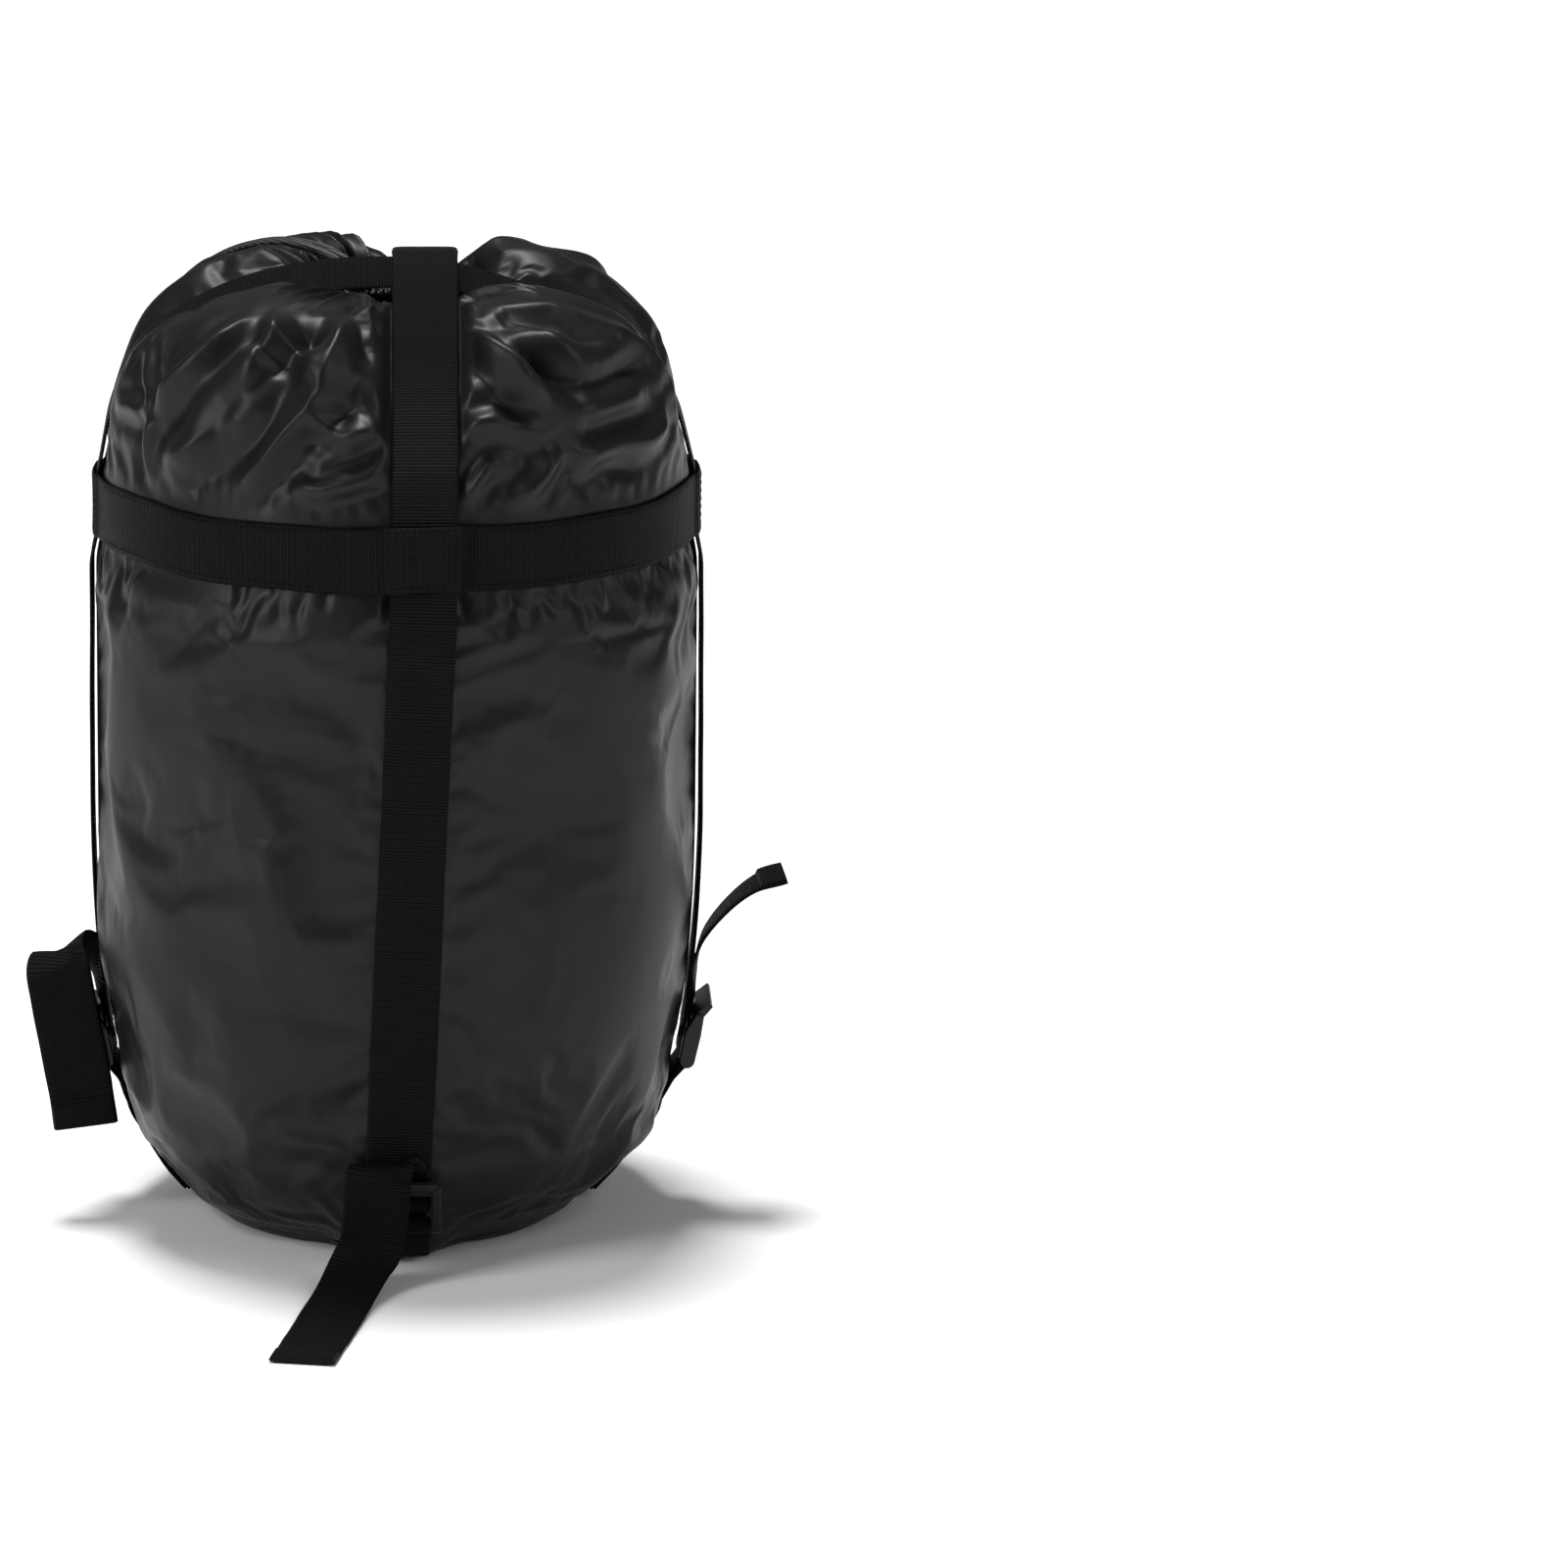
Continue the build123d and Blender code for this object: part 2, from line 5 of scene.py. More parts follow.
import bmesh
import bpy
import numpy as np
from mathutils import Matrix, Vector


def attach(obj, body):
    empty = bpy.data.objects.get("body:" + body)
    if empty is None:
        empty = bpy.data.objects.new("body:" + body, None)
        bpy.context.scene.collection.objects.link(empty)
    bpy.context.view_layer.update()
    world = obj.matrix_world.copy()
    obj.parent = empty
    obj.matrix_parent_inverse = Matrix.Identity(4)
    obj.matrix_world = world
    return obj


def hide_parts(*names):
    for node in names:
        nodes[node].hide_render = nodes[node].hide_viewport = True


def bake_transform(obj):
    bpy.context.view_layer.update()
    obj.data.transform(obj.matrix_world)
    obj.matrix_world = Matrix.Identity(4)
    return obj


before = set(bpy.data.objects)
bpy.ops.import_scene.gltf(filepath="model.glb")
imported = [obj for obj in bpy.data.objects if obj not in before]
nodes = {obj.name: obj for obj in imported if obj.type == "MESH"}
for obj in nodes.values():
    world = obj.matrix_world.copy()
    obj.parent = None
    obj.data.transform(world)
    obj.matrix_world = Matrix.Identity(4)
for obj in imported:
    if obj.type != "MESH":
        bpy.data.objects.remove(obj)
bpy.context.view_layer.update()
scene = bpy.context.scene

MM = 0.001
SIDES = {"front": -90, "right": 0, "back": 90, "left": 180}

# ---------------------------------------------------------------- camera

camera_data = bpy.data.cameras.new("camera")
camera_data.sensor_width = 36
camera_data.lens = 210
camera_data.clip_end = 100
camera_data.shift_x = 0.247
camera = bpy.data.objects.new("camera", camera_data)
scene.collection.objects.link(camera)
camera.location = (0, -3.503, 1.018)
AIM = Vector((0, 0, 0.170))
camera.rotation_euler = (AIM - camera.location).to_track_quat("-Z", "Y").to_euler()
scene.camera = camera

# ---------------------------------------------------------------- drawcord

CORD_DIAMETER = 3.0
CORD_SPREAD = 2.3  # of each strand to its own side
CORD_SPREAD_AT_HEM = 1.7
CORD_SPREAD_RUN = 20  # how far from the hem the spread grows by a millimetre
CORD_ROUTE = [  # azimuth in degrees, radius and height in millimetres
    (135, 16.8, 365.6),
    (135, 24.0, 373.5),
    (137, 38.0, 379.3),
    (139, 60.0, 380.8),
    (141, 80.0, 376.0),
    (142, 98.0, 365.5),
    (143, 112.0, 346.0),
    (143, 120.5, 322.0),
    (143, 126.3, 297.0),
    (143, 128.3, 270.0),
    (143, 128.7, 236.0),
    (143, 128.2, 203.0),
    (143, 126.6, 174.0),
    (143, 124.4, 148.0),
]


def unit(azimuth):
    """Unit vector away from the axis at an azimuth in degrees."""
    return math.cos(math.radians(azimuth)), math.sin(math.radians(azimuth))


def cord_strand(name, sign):
    """One of the drawcord's two free strands, as a smooth curve with a round section."""
    points = []
    for azimuth, radius, height in CORD_ROUTE:
        x, y = unit(azimuth)
        past_hem = radius - CORD_ROUTE[0][1]
        spread = sign * min(CORD_SPREAD, CORD_SPREAD_AT_HEM + past_hem / CORD_SPREAD_RUN)
        points.append(Vector((x * radius - y * spread, y * radius + x * spread, height)) * MM)
    curve = bpy.data.curves.new(name, "CURVE")
    curve.dimensions = "3D"
    spline = curve.splines.new("NURBS")
    spline.points.add(len(points) - 1)
    for point, place in zip(spline.points, points):
        point.co = (*place, 1)
        point.radius = CORD_DIAMETER / 2 * MM
    spline.order_u = 3
    spline.use_endpoint_u = True
    curve.resolution_u = 12
    curve.bevel_depth = 1
    curve.bevel_resolution = 5
    curve.use_fill_caps = True
    strand = bpy.data.objects.new(name, curve)
    scene.collection.objects.link(strand)
    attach(strand, "cap")
    return strand, points[0]


# ---------------------------------------------------------------- small tools


def rows_object(name, grid, uv=None):
    """A mesh object from a grid of points: rows by columns by 3, each row a closed ring."""
    rows, columns = grid.shape[:2]
    index = np.arange(rows * columns).reshape(rows, columns)
    following = np.roll(index, -1, axis=1)
    faces = np.stack([index[:-1], following[:-1], following[1:], index[1:]], axis=-1).reshape(-1, 4)
    mesh = bpy.data.meshes.new(name)
    mesh.from_pydata(grid.reshape(-1, 3).tolist(), [], faces.tolist())
    if uv is not None:
        layer = mesh.uv_layers.new(name="weave")
        loops = np.zeros(len(mesh.loops), int)
        mesh.loops.foreach_get("vertex_index", loops)
        layer.data.foreach_set("uv", uv.reshape(-1, 2)[loops].astype(np.float32).ravel())
    mesh.update()
    mesh.shade_smooth()
    thing = bpy.data.objects.new(name, mesh)
    scene.collection.objects.link(thing)
    return thing


def coordinates(thing):
    """The mesh's points, as an array."""
    points = np.zeros(len(thing.data.vertices) * 3, np.float32)
    thing.data.vertices.foreach_get("co", points)
    return points.reshape(-1, 3).astype(float)


def set_coordinates(thing, points):
    """Move the mesh's points."""
    thing.data.vertices.foreach_set("co", points.astype(np.float32).ravel())
    thing.data.update()


def smoothstep(low, high, value):
    """A smooth rise from 0 to 1 between two places, or a fall if they are swapped."""
    t = np.clip((value - low) / (high - low), 0, 1)
    return t * t * (3 - 2 * t)


STEPS_PER_KNOT = 24


def through(knots, count):
    """Points evenly spaced along a smooth line, a Catmull-Rom spline, through some knots."""
    knots = np.array(knots, float)
    steps = np.linalg.norm(np.diff(knots, axis=0), axis=1) ** 0.5
    when = np.concatenate([[0], np.cumsum(steps)])
    padded = np.vstack([2 * knots[0] - knots[1], knots, 2 * knots[-1] - knots[-2]])
    padded_when = np.concatenate([[-steps[0]], when, [when[-1] + steps[-1]]])
    fine = []
    for k in range(len(knots) - 1):
        t0, t1, t2, t3 = padded_when[k : k + 4]
        p0, p1, p2, p3 = padded[k : k + 4]
        for t in np.linspace(t1, t2, STEPS_PER_KNOT, endpoint=False):
            a1 = (t1 - t) / (t1 - t0) * p0 + (t - t0) / (t1 - t0) * p1
            a2 = (t2 - t) / (t2 - t1) * p1 + (t - t1) / (t2 - t1) * p2
            a3 = (t3 - t) / (t3 - t2) * p2 + (t - t2) / (t3 - t2) * p3
            b1 = (t2 - t) / (t2 - t0) * a1 + (t - t0) / (t2 - t0) * a2
            b2 = (t3 - t) / (t3 - t1) * a2 + (t - t1) / (t3 - t1) * a3
            fine.append((t2 - t) / (t2 - t1) * b1 + (t - t1) / (t2 - t1) * b2)
    fine.append(knots[-1])
    fine = np.array(fine)
    length = np.concatenate([[0], np.cumsum(np.linalg.norm(np.diff(fine, axis=0), axis=1))])
    wanted = np.linspace(0, length[-1], count)
    return np.stack([np.interp(wanted, length, fine[:, k]) for k in range(knots.shape[1])], 1)


def waves(position, seed, scale, count=24):
    """Smooth noise of about unit size, from a sum of plane waves in space."""
    random = np.random.default_rng(seed)
    total = np.zeros(len(position))
    for _ in range(count):
        heading = random.normal(size=3)
        heading *= 2 * math.pi / scale / np.linalg.norm(heading) * random.uniform(0.6, 1.5)
        total += np.sin(position @ heading + random.uniform(0, 2 * math.pi))
    return total / math.sqrt(count / 2)


# ---------------------------------------------------------------- materials


def new_material(name):
    """A material, with its node tree and shader."""
    material = bpy.data.materials.new(name)
    material.use_nodes = True
    tree = material.node_tree
    return material, tree, tree.nodes["Principled BSDF"]


def node(tree, kind, **settings):
    """A new shader node, with some of its settings."""
    made = tree.nodes.new(kind)
    for key, value in settings.items():
        setattr(made, key, value)
    return made


def object_place(tree):
    """The place on the object, in metres."""
    return node(tree, "ShaderNodeTexCoord").outputs["Object"]


def maths(tree, operation, first, second=None):
    """The result of a sum with one or two values, each a number or a socket."""
    made = node(tree, "ShaderNodeMath", operation=operation)
    for slot, value in zip(made.inputs, (first, second)):
        if value is None:
            continue
        if isinstance(value, (int, float)):
            slot.default_value = value
        else:
            tree.links.new(value, slot)
    return made.outputs[0]


def plus(tree, first, second):
    """Two values added up."""
    return maths(tree, "ADD", first, second)


def times(tree, first, second):
    """Two values multiplied."""
    return maths(tree, "MULTIPLY", first, second)


def sine(tree, value, turns_per_metre):
    """A sine wave along a distance."""
    return maths(tree, "SINE", times(tree, value, 2 * math.pi * turns_per_metre))


def split(tree, vector):
    """The X, Y and Z of a vector."""
    parts = node(tree, "ShaderNodeSeparateXYZ")
    tree.links.new(vector, parts.inputs[0])
    return parts.outputs["X"], parts.outputs["Y"], parts.outputs["Z"]


def noise(tree, scale, detail, roughness):
    """Cloudy noise from 0 to 1 over the object."""
    made = node(tree, "ShaderNodeTexNoise")
    made.inputs["Scale"].default_value = scale
    made.inputs["Detail"].default_value = detail
    made.inputs["Roughness"].default_value = roughness
    tree.links.new(object_place(tree), made.inputs["Vector"])
    return made.outputs["Fac"]


MIX_COLOURS = (6, 7)  # the sockets of a colour mix
MIX_RESULT = 2


def colour(tree, shader, fac, low, high):
    """Give the surface a colour between two, by a value from 0 to 1."""
    made = node(tree, "ShaderNodeMix", data_type="RGBA")
    tree.links.new(fac, made.inputs["Factor"])
    for slot, shade in zip(MIX_COLOURS, (low, high)):
        made.inputs[slot].default_value = (*shade, 1)
    tree.links.new(made.outputs[MIX_RESULT], shader.inputs["Base Color"])


def span(tree, fac, low, high):
    """A number between two, by a value from 0 to 1."""
    made = node(tree, "ShaderNodeMapRange")
    tree.links.new(fac, made.inputs["Value"])
    made.inputs["To Min"].default_value = low
    made.inputs["To Max"].default_value = high
    return made.outputs["Result"]


def bump(tree, shader, height, strength, distance):
    """Roughen the surface by a height from 0 to 1, over a distance in metres."""
    made = node(tree, "ShaderNodeBump")
    made.inputs["Strength"].default_value = strength
    made.inputs["Distance"].default_value = distance
    tree.links.new(height, made.inputs["Height"])
    tree.links.new(made.outputs["Normal"], shader.inputs["Normal"])


def nylon_material():
    """Black satin nylon: a fine plain weave, soft sheen and slight rub marks."""
    material, tree, shader = new_material("black_nylon")
    cloudy = noise(tree, 14, 4, 0.6)
    fine = noise(tree, 900, 2, 0.5)
    colour(tree, shader, cloudy, (0.0042, 0.0042, 0.0046), (0.0068, 0.0068, 0.0074))
    rough = plus(tree, span(tree, cloudy, 0.34, 0.44), times(tree, fine, 0.04))
    tree.links.new(rough, shader.inputs["Roughness"])
    shader.inputs["Specular IOR Level"].default_value = 0.2
    x, y, z = split(tree, object_place(tree))
    warp = maths(tree, "SINE", times(tree, maths(tree, "ARCTAN2", y, x), 1480.0))
    weft = maths(tree, "SINE", times(tree, z, 12500.0))
    crush = noise(tree, 160, 3, 0.55)
    height = plus(tree, times(tree, times(tree, warp, weft), 0.12), crush)
    bump(tree, shader, height, 0.10, 0.0006)
    return material


def webbing_material():
    """Ribbed black webbing. The ribs run across it, and its UV map is in metres."""
    material, tree, shader = new_material("black_webbing")
    along, across, _ = split(tree, node(tree, "ShaderNodeUVMap", uv_map="weave").outputs["UV"])
    ribs = sine(tree, along, 1 / RIB_PITCH)
    cords = sine(tree, across, 1 / CORD_PITCH)
    along_angle = times(tree, along, 2 * math.pi / (2 * RIB_PITCH))
    stagger = maths(tree, "SINE", plus(tree, along_angle, times(tree, cords, 0.9)))
    weave = plus(tree, times(tree, ribs, 0.34), times(tree, times(tree, cords, stagger), 0.22))
    height = plus(tree, weave, 0.5)
    wear = noise(tree, 60, 4, 0.6)
    lint = noise(tree, 700, 2, 0.6)
    # The colour follows the weave's height: raised ribs are painted lighter and the grooves between them darker, a
    # painted highlight and shade, mixed with random wear that is the webbing's own.
    clamp = node(tree, "ShaderNodeClamp")
    tree.links.new(plus(tree, times(tree, height, 0.6), times(tree, wear, 0.4)), clamp.inputs["Value"])
    colour(tree, shader, clamp.outputs[0], (0.0013, 0.0014, 0.0014), (0.0100, 0.0106, 0.0103))
    rough = plus(tree, span(tree, wear, 0.45, 0.55), times(tree, lint, 0.06))
    tree.links.new(rough, shader.inputs["Roughness"])
    shader.inputs["Specular IOR Level"].default_value = 0.05
    bump(tree, shader, height, 1.0, 0.0007)
    return material


def plastic_material():
    """Moulded black acetal: smooth and slightly glossy, with a faint sparkle."""
    material, tree, shader = new_material("black_plastic")
    grain = noise(tree, 420, 3, 0.6)
    cloudy = noise(tree, 45, 3, 0.5)
    colour(tree, shader, cloudy, (0.0035, 0.0035, 0.0037), (0.006, 0.006, 0.0063))
    tree.links.new(span(tree, cloudy, 0.24, 0.36), shader.inputs["Roughness"])
    shader.inputs["Specular IOR Level"].default_value = 0.25
    bump(tree, shader, grain, 0.12, 0.0002)
    return material


def cord_material():
    """Braided black cord: crossing strands that wind round it."""
    material, tree, shader = new_material("black_braid")
    braiding = node(tree, "ShaderNodeTexWave", wave_type="BANDS", bands_direction="DIAGONAL")
    braiding.inputs["Scale"].default_value = 330
    braiding.inputs["Distortion"].default_value = 2.2
    braiding.inputs["Detail"].default_value = 1
    tree.links.new(object_place(tree), braiding.inputs["Vector"])
    fibre = noise(tree, 1500, 2, 0.6)
    # The braid's raised strands are painted lighter and the gaps between them darker, a painted highlight and shade
    # that follows the bump.
    colour(tree, shader, braiding.outputs["Fac"], (0.003, 0.003, 0.003), (0.02, 0.02, 0.021))
    tree.links.new(span(tree, fibre, 0.45, 0.65), shader.inputs["Roughness"])
    bump(tree, shader, braiding.outputs["Fac"], 0.6, 0.0004)
    return material


def thread_material():
    """Black sewing thread and binding tape, a little lighter than the webbing."""
    material, tree, shader = new_material("black_thread")
    twist = noise(tree, 2500, 2, 0.5)
    colour(tree, shader, twist, (0.006, 0.006, 0.006), (0.02, 0.02, 0.02))
    tree.links.new(span(tree, twist, 0.4, 0.6), shader.inputs["Roughness"])
    bump(tree, shader, twist, 0.3, 0.0002)
    return material


def steel_material():
    """Drawn spring wire."""
    material, tree, shader = new_material("spring_wire")
    drawn = noise(tree, 900, 3, 0.6)
    shader.inputs["Metallic"].default_value = 1
    colour(tree, shader, drawn, (0.5, 0.5, 0.5), (0.68, 0.68, 0.68))
    tree.links.new(span(tree, drawn, 0.22, 0.4), shader.inputs["Roughness"])
    bump(tree, shader, drawn, 0.1, 0.0001)
    return material


RIB_PITCH = 1.24 * MM
CORD_PITCH = 1.05 * MM
nylon = nylon_material()
webbing = webbing_material()
plastic = plastic_material()
braid = cord_material()
thread = thread_material()
steel = steel_material()


def paint(thing, material):
    """Give a piece one material."""
    thing.data.materials.clear()
    thing.data.materials.append(material)


# ---------------------------------------------------------------- the sack's fabric

BODY_RADIUS = 118 * MM
FLOOR_RADIUS = 78 * MM
FULL_HEIGHT = 170 * MM  # the wall is at its full radius from here up
BULGE = 2.37
RING_HEIGHT = 285 * MM
STRAP_SHIFT = 11 * MM  # the front-to-back strap crosses the ring this far right
STRAP_LEANS = {"front": STRAP_SHIFT, "back": -STRAP_SHIFT, "right": 0.0, "left": 0.0}
LOCK_AZIMUTH = 143  # of the cord lock, in degrees
LOCK_HEIGHTS = {"front": 30 * MM, "back": 30 * MM, "right": 72 * MM, "left": 72 * MM}
CINCH = 2.3 * MM


def wall_radius(height):
    """Outer radius of the side wall at a height."""
    rise = np.sqrt(np.clip(1 - (1 - np.clip(height, 0, FULL_HEIGHT) / FULL_HEIGHT) ** BULGE, 0, 1))
    return FLOOR_RADIUS + (BODY_RADIUS - FLOOR_RADIUS) * rise


def cinch(points):
    """Draw everything in a little where the ring band holds it tight."""
    height = points[:, 2]
    tight = smoothstep(260 * MM, 276 * MM, height) * smoothstep(322 * MM, 300 * MM, height)
    radius = np.maximum(np.hypot(points[:, 0], points[:, 1]), 1 * MM)
    scale = 1 - CINCH * tight / radius
    return points * np.stack([scale, scale, np.ones(len(points))], 1)


FAR_AWAY = 1.0  # metres, for points on the other side of the sack


def strap_offset(points, side):
    """Distance from a strap's centreline, sideways round the wall."""
    x, y = unit(SIDES[side])
    low = LOCK_HEIGHTS[side]
    rise = np.clip((points[:, 2] - low) / (RING_HEIGHT - low), 0, 1)
    sideways = points[:, 0] * -y + points[:, 1] * x - STRAP_LEANS[side] * rise
    facing = points[:, 0] * x + points[:, 1] * y
    return np.where(facing > 0, sideways, FAR_AWAY)


WEIGHT_LEVELS = 40
CLOTH_QUALITY = 5
CLOTH_STIFFNESS = 15
CLOTH_MASS = 0.1


def cloth(thing, pinned, ease, pressure, frames, limit, bending=0.3):
    """Blow the fabric out with Blender's cloth. Ease is how much larger it is cut, by point."""
    start = coordinates(thing)
    most = float(ease.max())
    for name, values in (("pinned", pinned), ("plain", 1 - ease / most)):
        group = thing.vertex_groups.new(name=name)
        levels = np.round(np.clip(values, 0, 1) * WEIGHT_LEVELS).astype(int)
        for level in range(1, WEIGHT_LEVELS + 1):
            members = np.nonzero(levels == level)[0]
            if len(members):
                group.add(members.tolist(), level / WEIGHT_LEVELS, "REPLACE")
    modifier = thing.modifiers.new("Cloth", "CLOTH")
    settings = modifier.settings
    settings.quality = CLOTH_QUALITY
    settings.mass = CLOTH_MASS
    settings.tension_stiffness = settings.compression_stiffness = CLOTH_STIFFNESS
    settings.shear_stiffness = CLOTH_STIFFNESS / 2
    settings.bending_stiffness = bending
    settings.air_damping = 1
    settings.use_pressure = True
    settings.uniform_pressure_force = pressure
    settings.vertex_group_mass = "pinned"
    settings.vertex_group_shrink = "plain"
    settings.shrink_min = -most
    settings.effector_weights.gravity = 0
    modifier.collision_settings.use_collision = False
    modifier.point_cache.frame_start = 1
    modifier.point_cache.frame_end = frames + 1
    for number in range(1, frames + 1):
        scene.frame_set(number)
    graph = bpy.context.evaluated_depsgraph_get()
    blown = np.zeros(len(start) * 3, np.float32)
    thing.evaluated_get(graph).data.vertices.foreach_get("co", blown)
    thing.modifiers.remove(modifier)
    thing.vertex_groups.clear()
    scene.frame_set(1)
    move = blown.reshape(-1, 3).astype(float) - start
    size = np.linalg.norm(move, axis=1)[:, None]
    move *= limit * np.tanh(size / limit) / np.maximum(size, 1e-9)
    set_coordinates(thing, start + move)
    return start + move


FOLD_SHARPNESS = 1.6
FOLD_POWER = 1.6
DIP_DEPTH = 0.42  # as a share of the ridge's height
DIP_PLACE = 1.55  # in half widths of the fold
DIP_WIDTH = 0.75
FOLD_START = 0.25  # the shares of its length over which a fold rises and fades
FOLD_END = 0.35


def crease(base, line, height, width):
    """How far a fold along a line lifts each point: a ridge with a dip on each side."""
    line = np.array(line, float)
    nearest = np.full(len(base), 1e9)
    where = np.zeros(len(base))
    steps = np.linalg.norm(np.diff(line, axis=0), axis=1)
    total = steps.sum()
    done = 0
    for first, second, step in zip(line, line[1:], steps):
        along = np.clip((base - first) @ (second - first) / step**2, 0, 1)
        gap = np.linalg.norm(base - (first + along[:, None] * (second - first)), axis=1)
        closer = gap < nearest
        nearest = np.where(closer, gap, nearest)
        where = np.where(closer, (done + along * step) / total, where)
        done += step
    taper = smoothstep(0, FOLD_START, where) * smoothstep(0, FOLD_END, 1 - where)
    x = nearest / width
    ridge = np.exp(-FOLD_SHARPNESS * x**FOLD_POWER)
    dip = DIP_DEPTH * np.exp(-(((x - DIP_PLACE) / DIP_WIDTH) ** 2))
    return height * taper * (ridge - dip)


def wavy(base, amount, scale, seeds):
    """The points moved about by smooth noise, so that what is drawn on them is uneven."""
    return base + amount * np.stack([waves(base, seed, scale) for seed in seeds], 1)


def apply_modifiers(thing):
    """Make the evaluated mesh the piece's own, so that no modifier is left."""
    graph = bpy.context.evaluated_depsgraph_get()
    made = bpy.data.meshes.new_from_object(thing.evaluated_get(graph))
    thing.modifiers.clear()
    thing.data = made
    made.shade_smooth()


def refine(thing):
    """Subdivide a piece once, into a finer and smoother mesh."""
    subdivision = thing.modifiers.new("finer", "SUBSURF")
    subdivision.levels = subdivision.render_levels = 1
    apply_modifiers(thing)


# Side wall: rows from the bottom seam up to the ring band, columns all the way round
COLUMNS = 420
SEAM_HEIGHT = 1.2
WALL_TOP = 288
FOOT_TOP = FULL_HEIGHT / MM
FOOT_ROWS = 62
UPPER_ROWS = 46
FOOT_CROWDING = 1.45  # rows lie closer together towards the seam
foot_rows = SEAM_HEIGHT * MM + (FOOT_TOP - SEAM_HEIGHT) * MM * np.linspace(0, 1, FOOT_ROWS) ** FOOT_CROWDING
heights = np.concatenate([foot_rows, np.linspace(FOOT_TOP, WALL_TOP, UPPER_ROWS)[1:] * MM])
azimuths = np.linspace(-math.pi, math.pi, COLUMNS, endpoint=False)
wall_grid = np.zeros((len(heights), COLUMNS, 3))
for row, height in enumerate(heights):
    radius = wall_radius(height)
    wall_grid[row, :, 0] = radius * np.cos(azimuths)
    wall_grid[row, :, 1] = radius * np.sin(azimuths)
    wall_grid[row, :, 2] = height
body = rows_object("body_fabric", wall_grid)
wall = coordinates(body)
wall_azimuth = np.arctan2(wall[:, 1], wall[:, 0])
outward = np.stack([np.cos(wall_azimuth), np.sin(wall_azimuth), np.zeros(len(wall))], 1)
slope = np.gradient(wall_radius(heights), heights)
outward[:, 2] = -np.repeat(slope, COLUMNS)
outward /= np.linalg.norm(outward, axis=1)[:, None]

PUFF = 1.6  # how far the fabric stands out between the straps, in millimetres
SUNK_AT_SIDES = 0.3  # and how far it gives way under them
SUNK_IN_FRONT = 1.2
near_strap = np.min([np.abs(strap_offset(wall, side)) for side in SIDES], axis=0)
clear = smoothstep(9 * MM, 30 * MM, near_strap)
under_ring = smoothstep(RING_HEIGHT, 262 * MM, wall[:, 2])
off_floor = smoothstep(2 * MM, 40 * MM, wall[:, 2])
facing_side = np.abs(np.cos(wall_azimuth)) > 0.7
sunk = np.where(facing_side, SUNK_AT_SIDES, SUNK_IN_FRONT)
lift = (PUFF * clear - sunk * (1 - clear)) * MM * under_ring * off_floor

FOOT_INSET = 4  # millimetres, from the wall's middle to the seam
SEAM_INSET = 5  # and more than that in the last few centimetres
RIGHT_INSET = 0.3  # the share by which the right is drawn in more, and the left less


def foot_inset(points):
    """How far the rounded foot is drawn in between its front and back, more so on the right."""
    height = points[:, 2]
    radius = np.hypot(points[:, 0], points[:, 1])
    near = np.minimum(np.abs(strap_offset(points, "front")), np.abs(strap_offset(points, "back")))
    drawn = FOOT_INSET * smoothstep(100 * MM, 8 * MM, height)
    drawn = drawn + SEAM_INSET * smoothstep(40 * MM, 2 * MM, height)
    return drawn * (1 + RIGHT_INSET * points[:, 0] / radius) * smoothstep(9 * MM, 34 * MM, near) * MM


lift -= foot_inset(wall)

# Puffs beside the tabs of the two side locks
TAB_PUFF = 1.8 * MM
beside = np.minimum(np.abs(strap_offset(wall, "right")), np.abs(strap_offset(wall, "left")))
low_side = smoothstep(72 * MM, 52 * MM, wall[:, 2]) * smoothstep(6 * MM, 34 * MM, wall[:, 2])
lift += TAB_PUFF * smoothstep(40 * MM, 24 * MM, beside) * smoothstep(6 * MM, 16 * MM, beside) * low_side
lift += 0.9 * MM * waves(wall * [1, 1, 1.3], 3, 0.085) * clear * off_floor * under_ring

# Puckers where the fabric is gathered into the ring band: fine ones close to it, then wider
FINE_PUCKER = 0.95
PUCKER_SUNK = 1.1
WIDE_PUCKER = 0.9 * MM
gathered = smoothstep(289 * MM, 276 * MM, wall[:, 2])
wide_room = smoothstep(236 * MM, 268 * MM, wall[:, 2]) * gathered
fine_room = smoothstep(250 * MM, 270 * MM, wall[:, 2]) * gathered
around = np.stack([np.cos(wall_azimuth), np.sin(wall_azimuth), wall[:, 2] * 0.9], 1)
pucker = waves(around * [0.118, 0.118, 0.35], 11, 0.0095, 30)
lift += (FINE_PUCKER * pucker - PUCKER_SUNK) * MM * fine_room * smoothstep(8 * MM, 14 * MM, near_strap)
lift += WIDE_PUCKER * waves(around * [0.118, 0.118, 0.25], 12, 0.022, 30) * wide_room * clear


def on_wall(azimuth, height):
    """A point of the plain wall, by azimuth and height in millimetres."""
    x, y = unit(azimuth)
    radius = float(wall_radius(height * MM))
    return (x * radius, y * radius, height * MM)


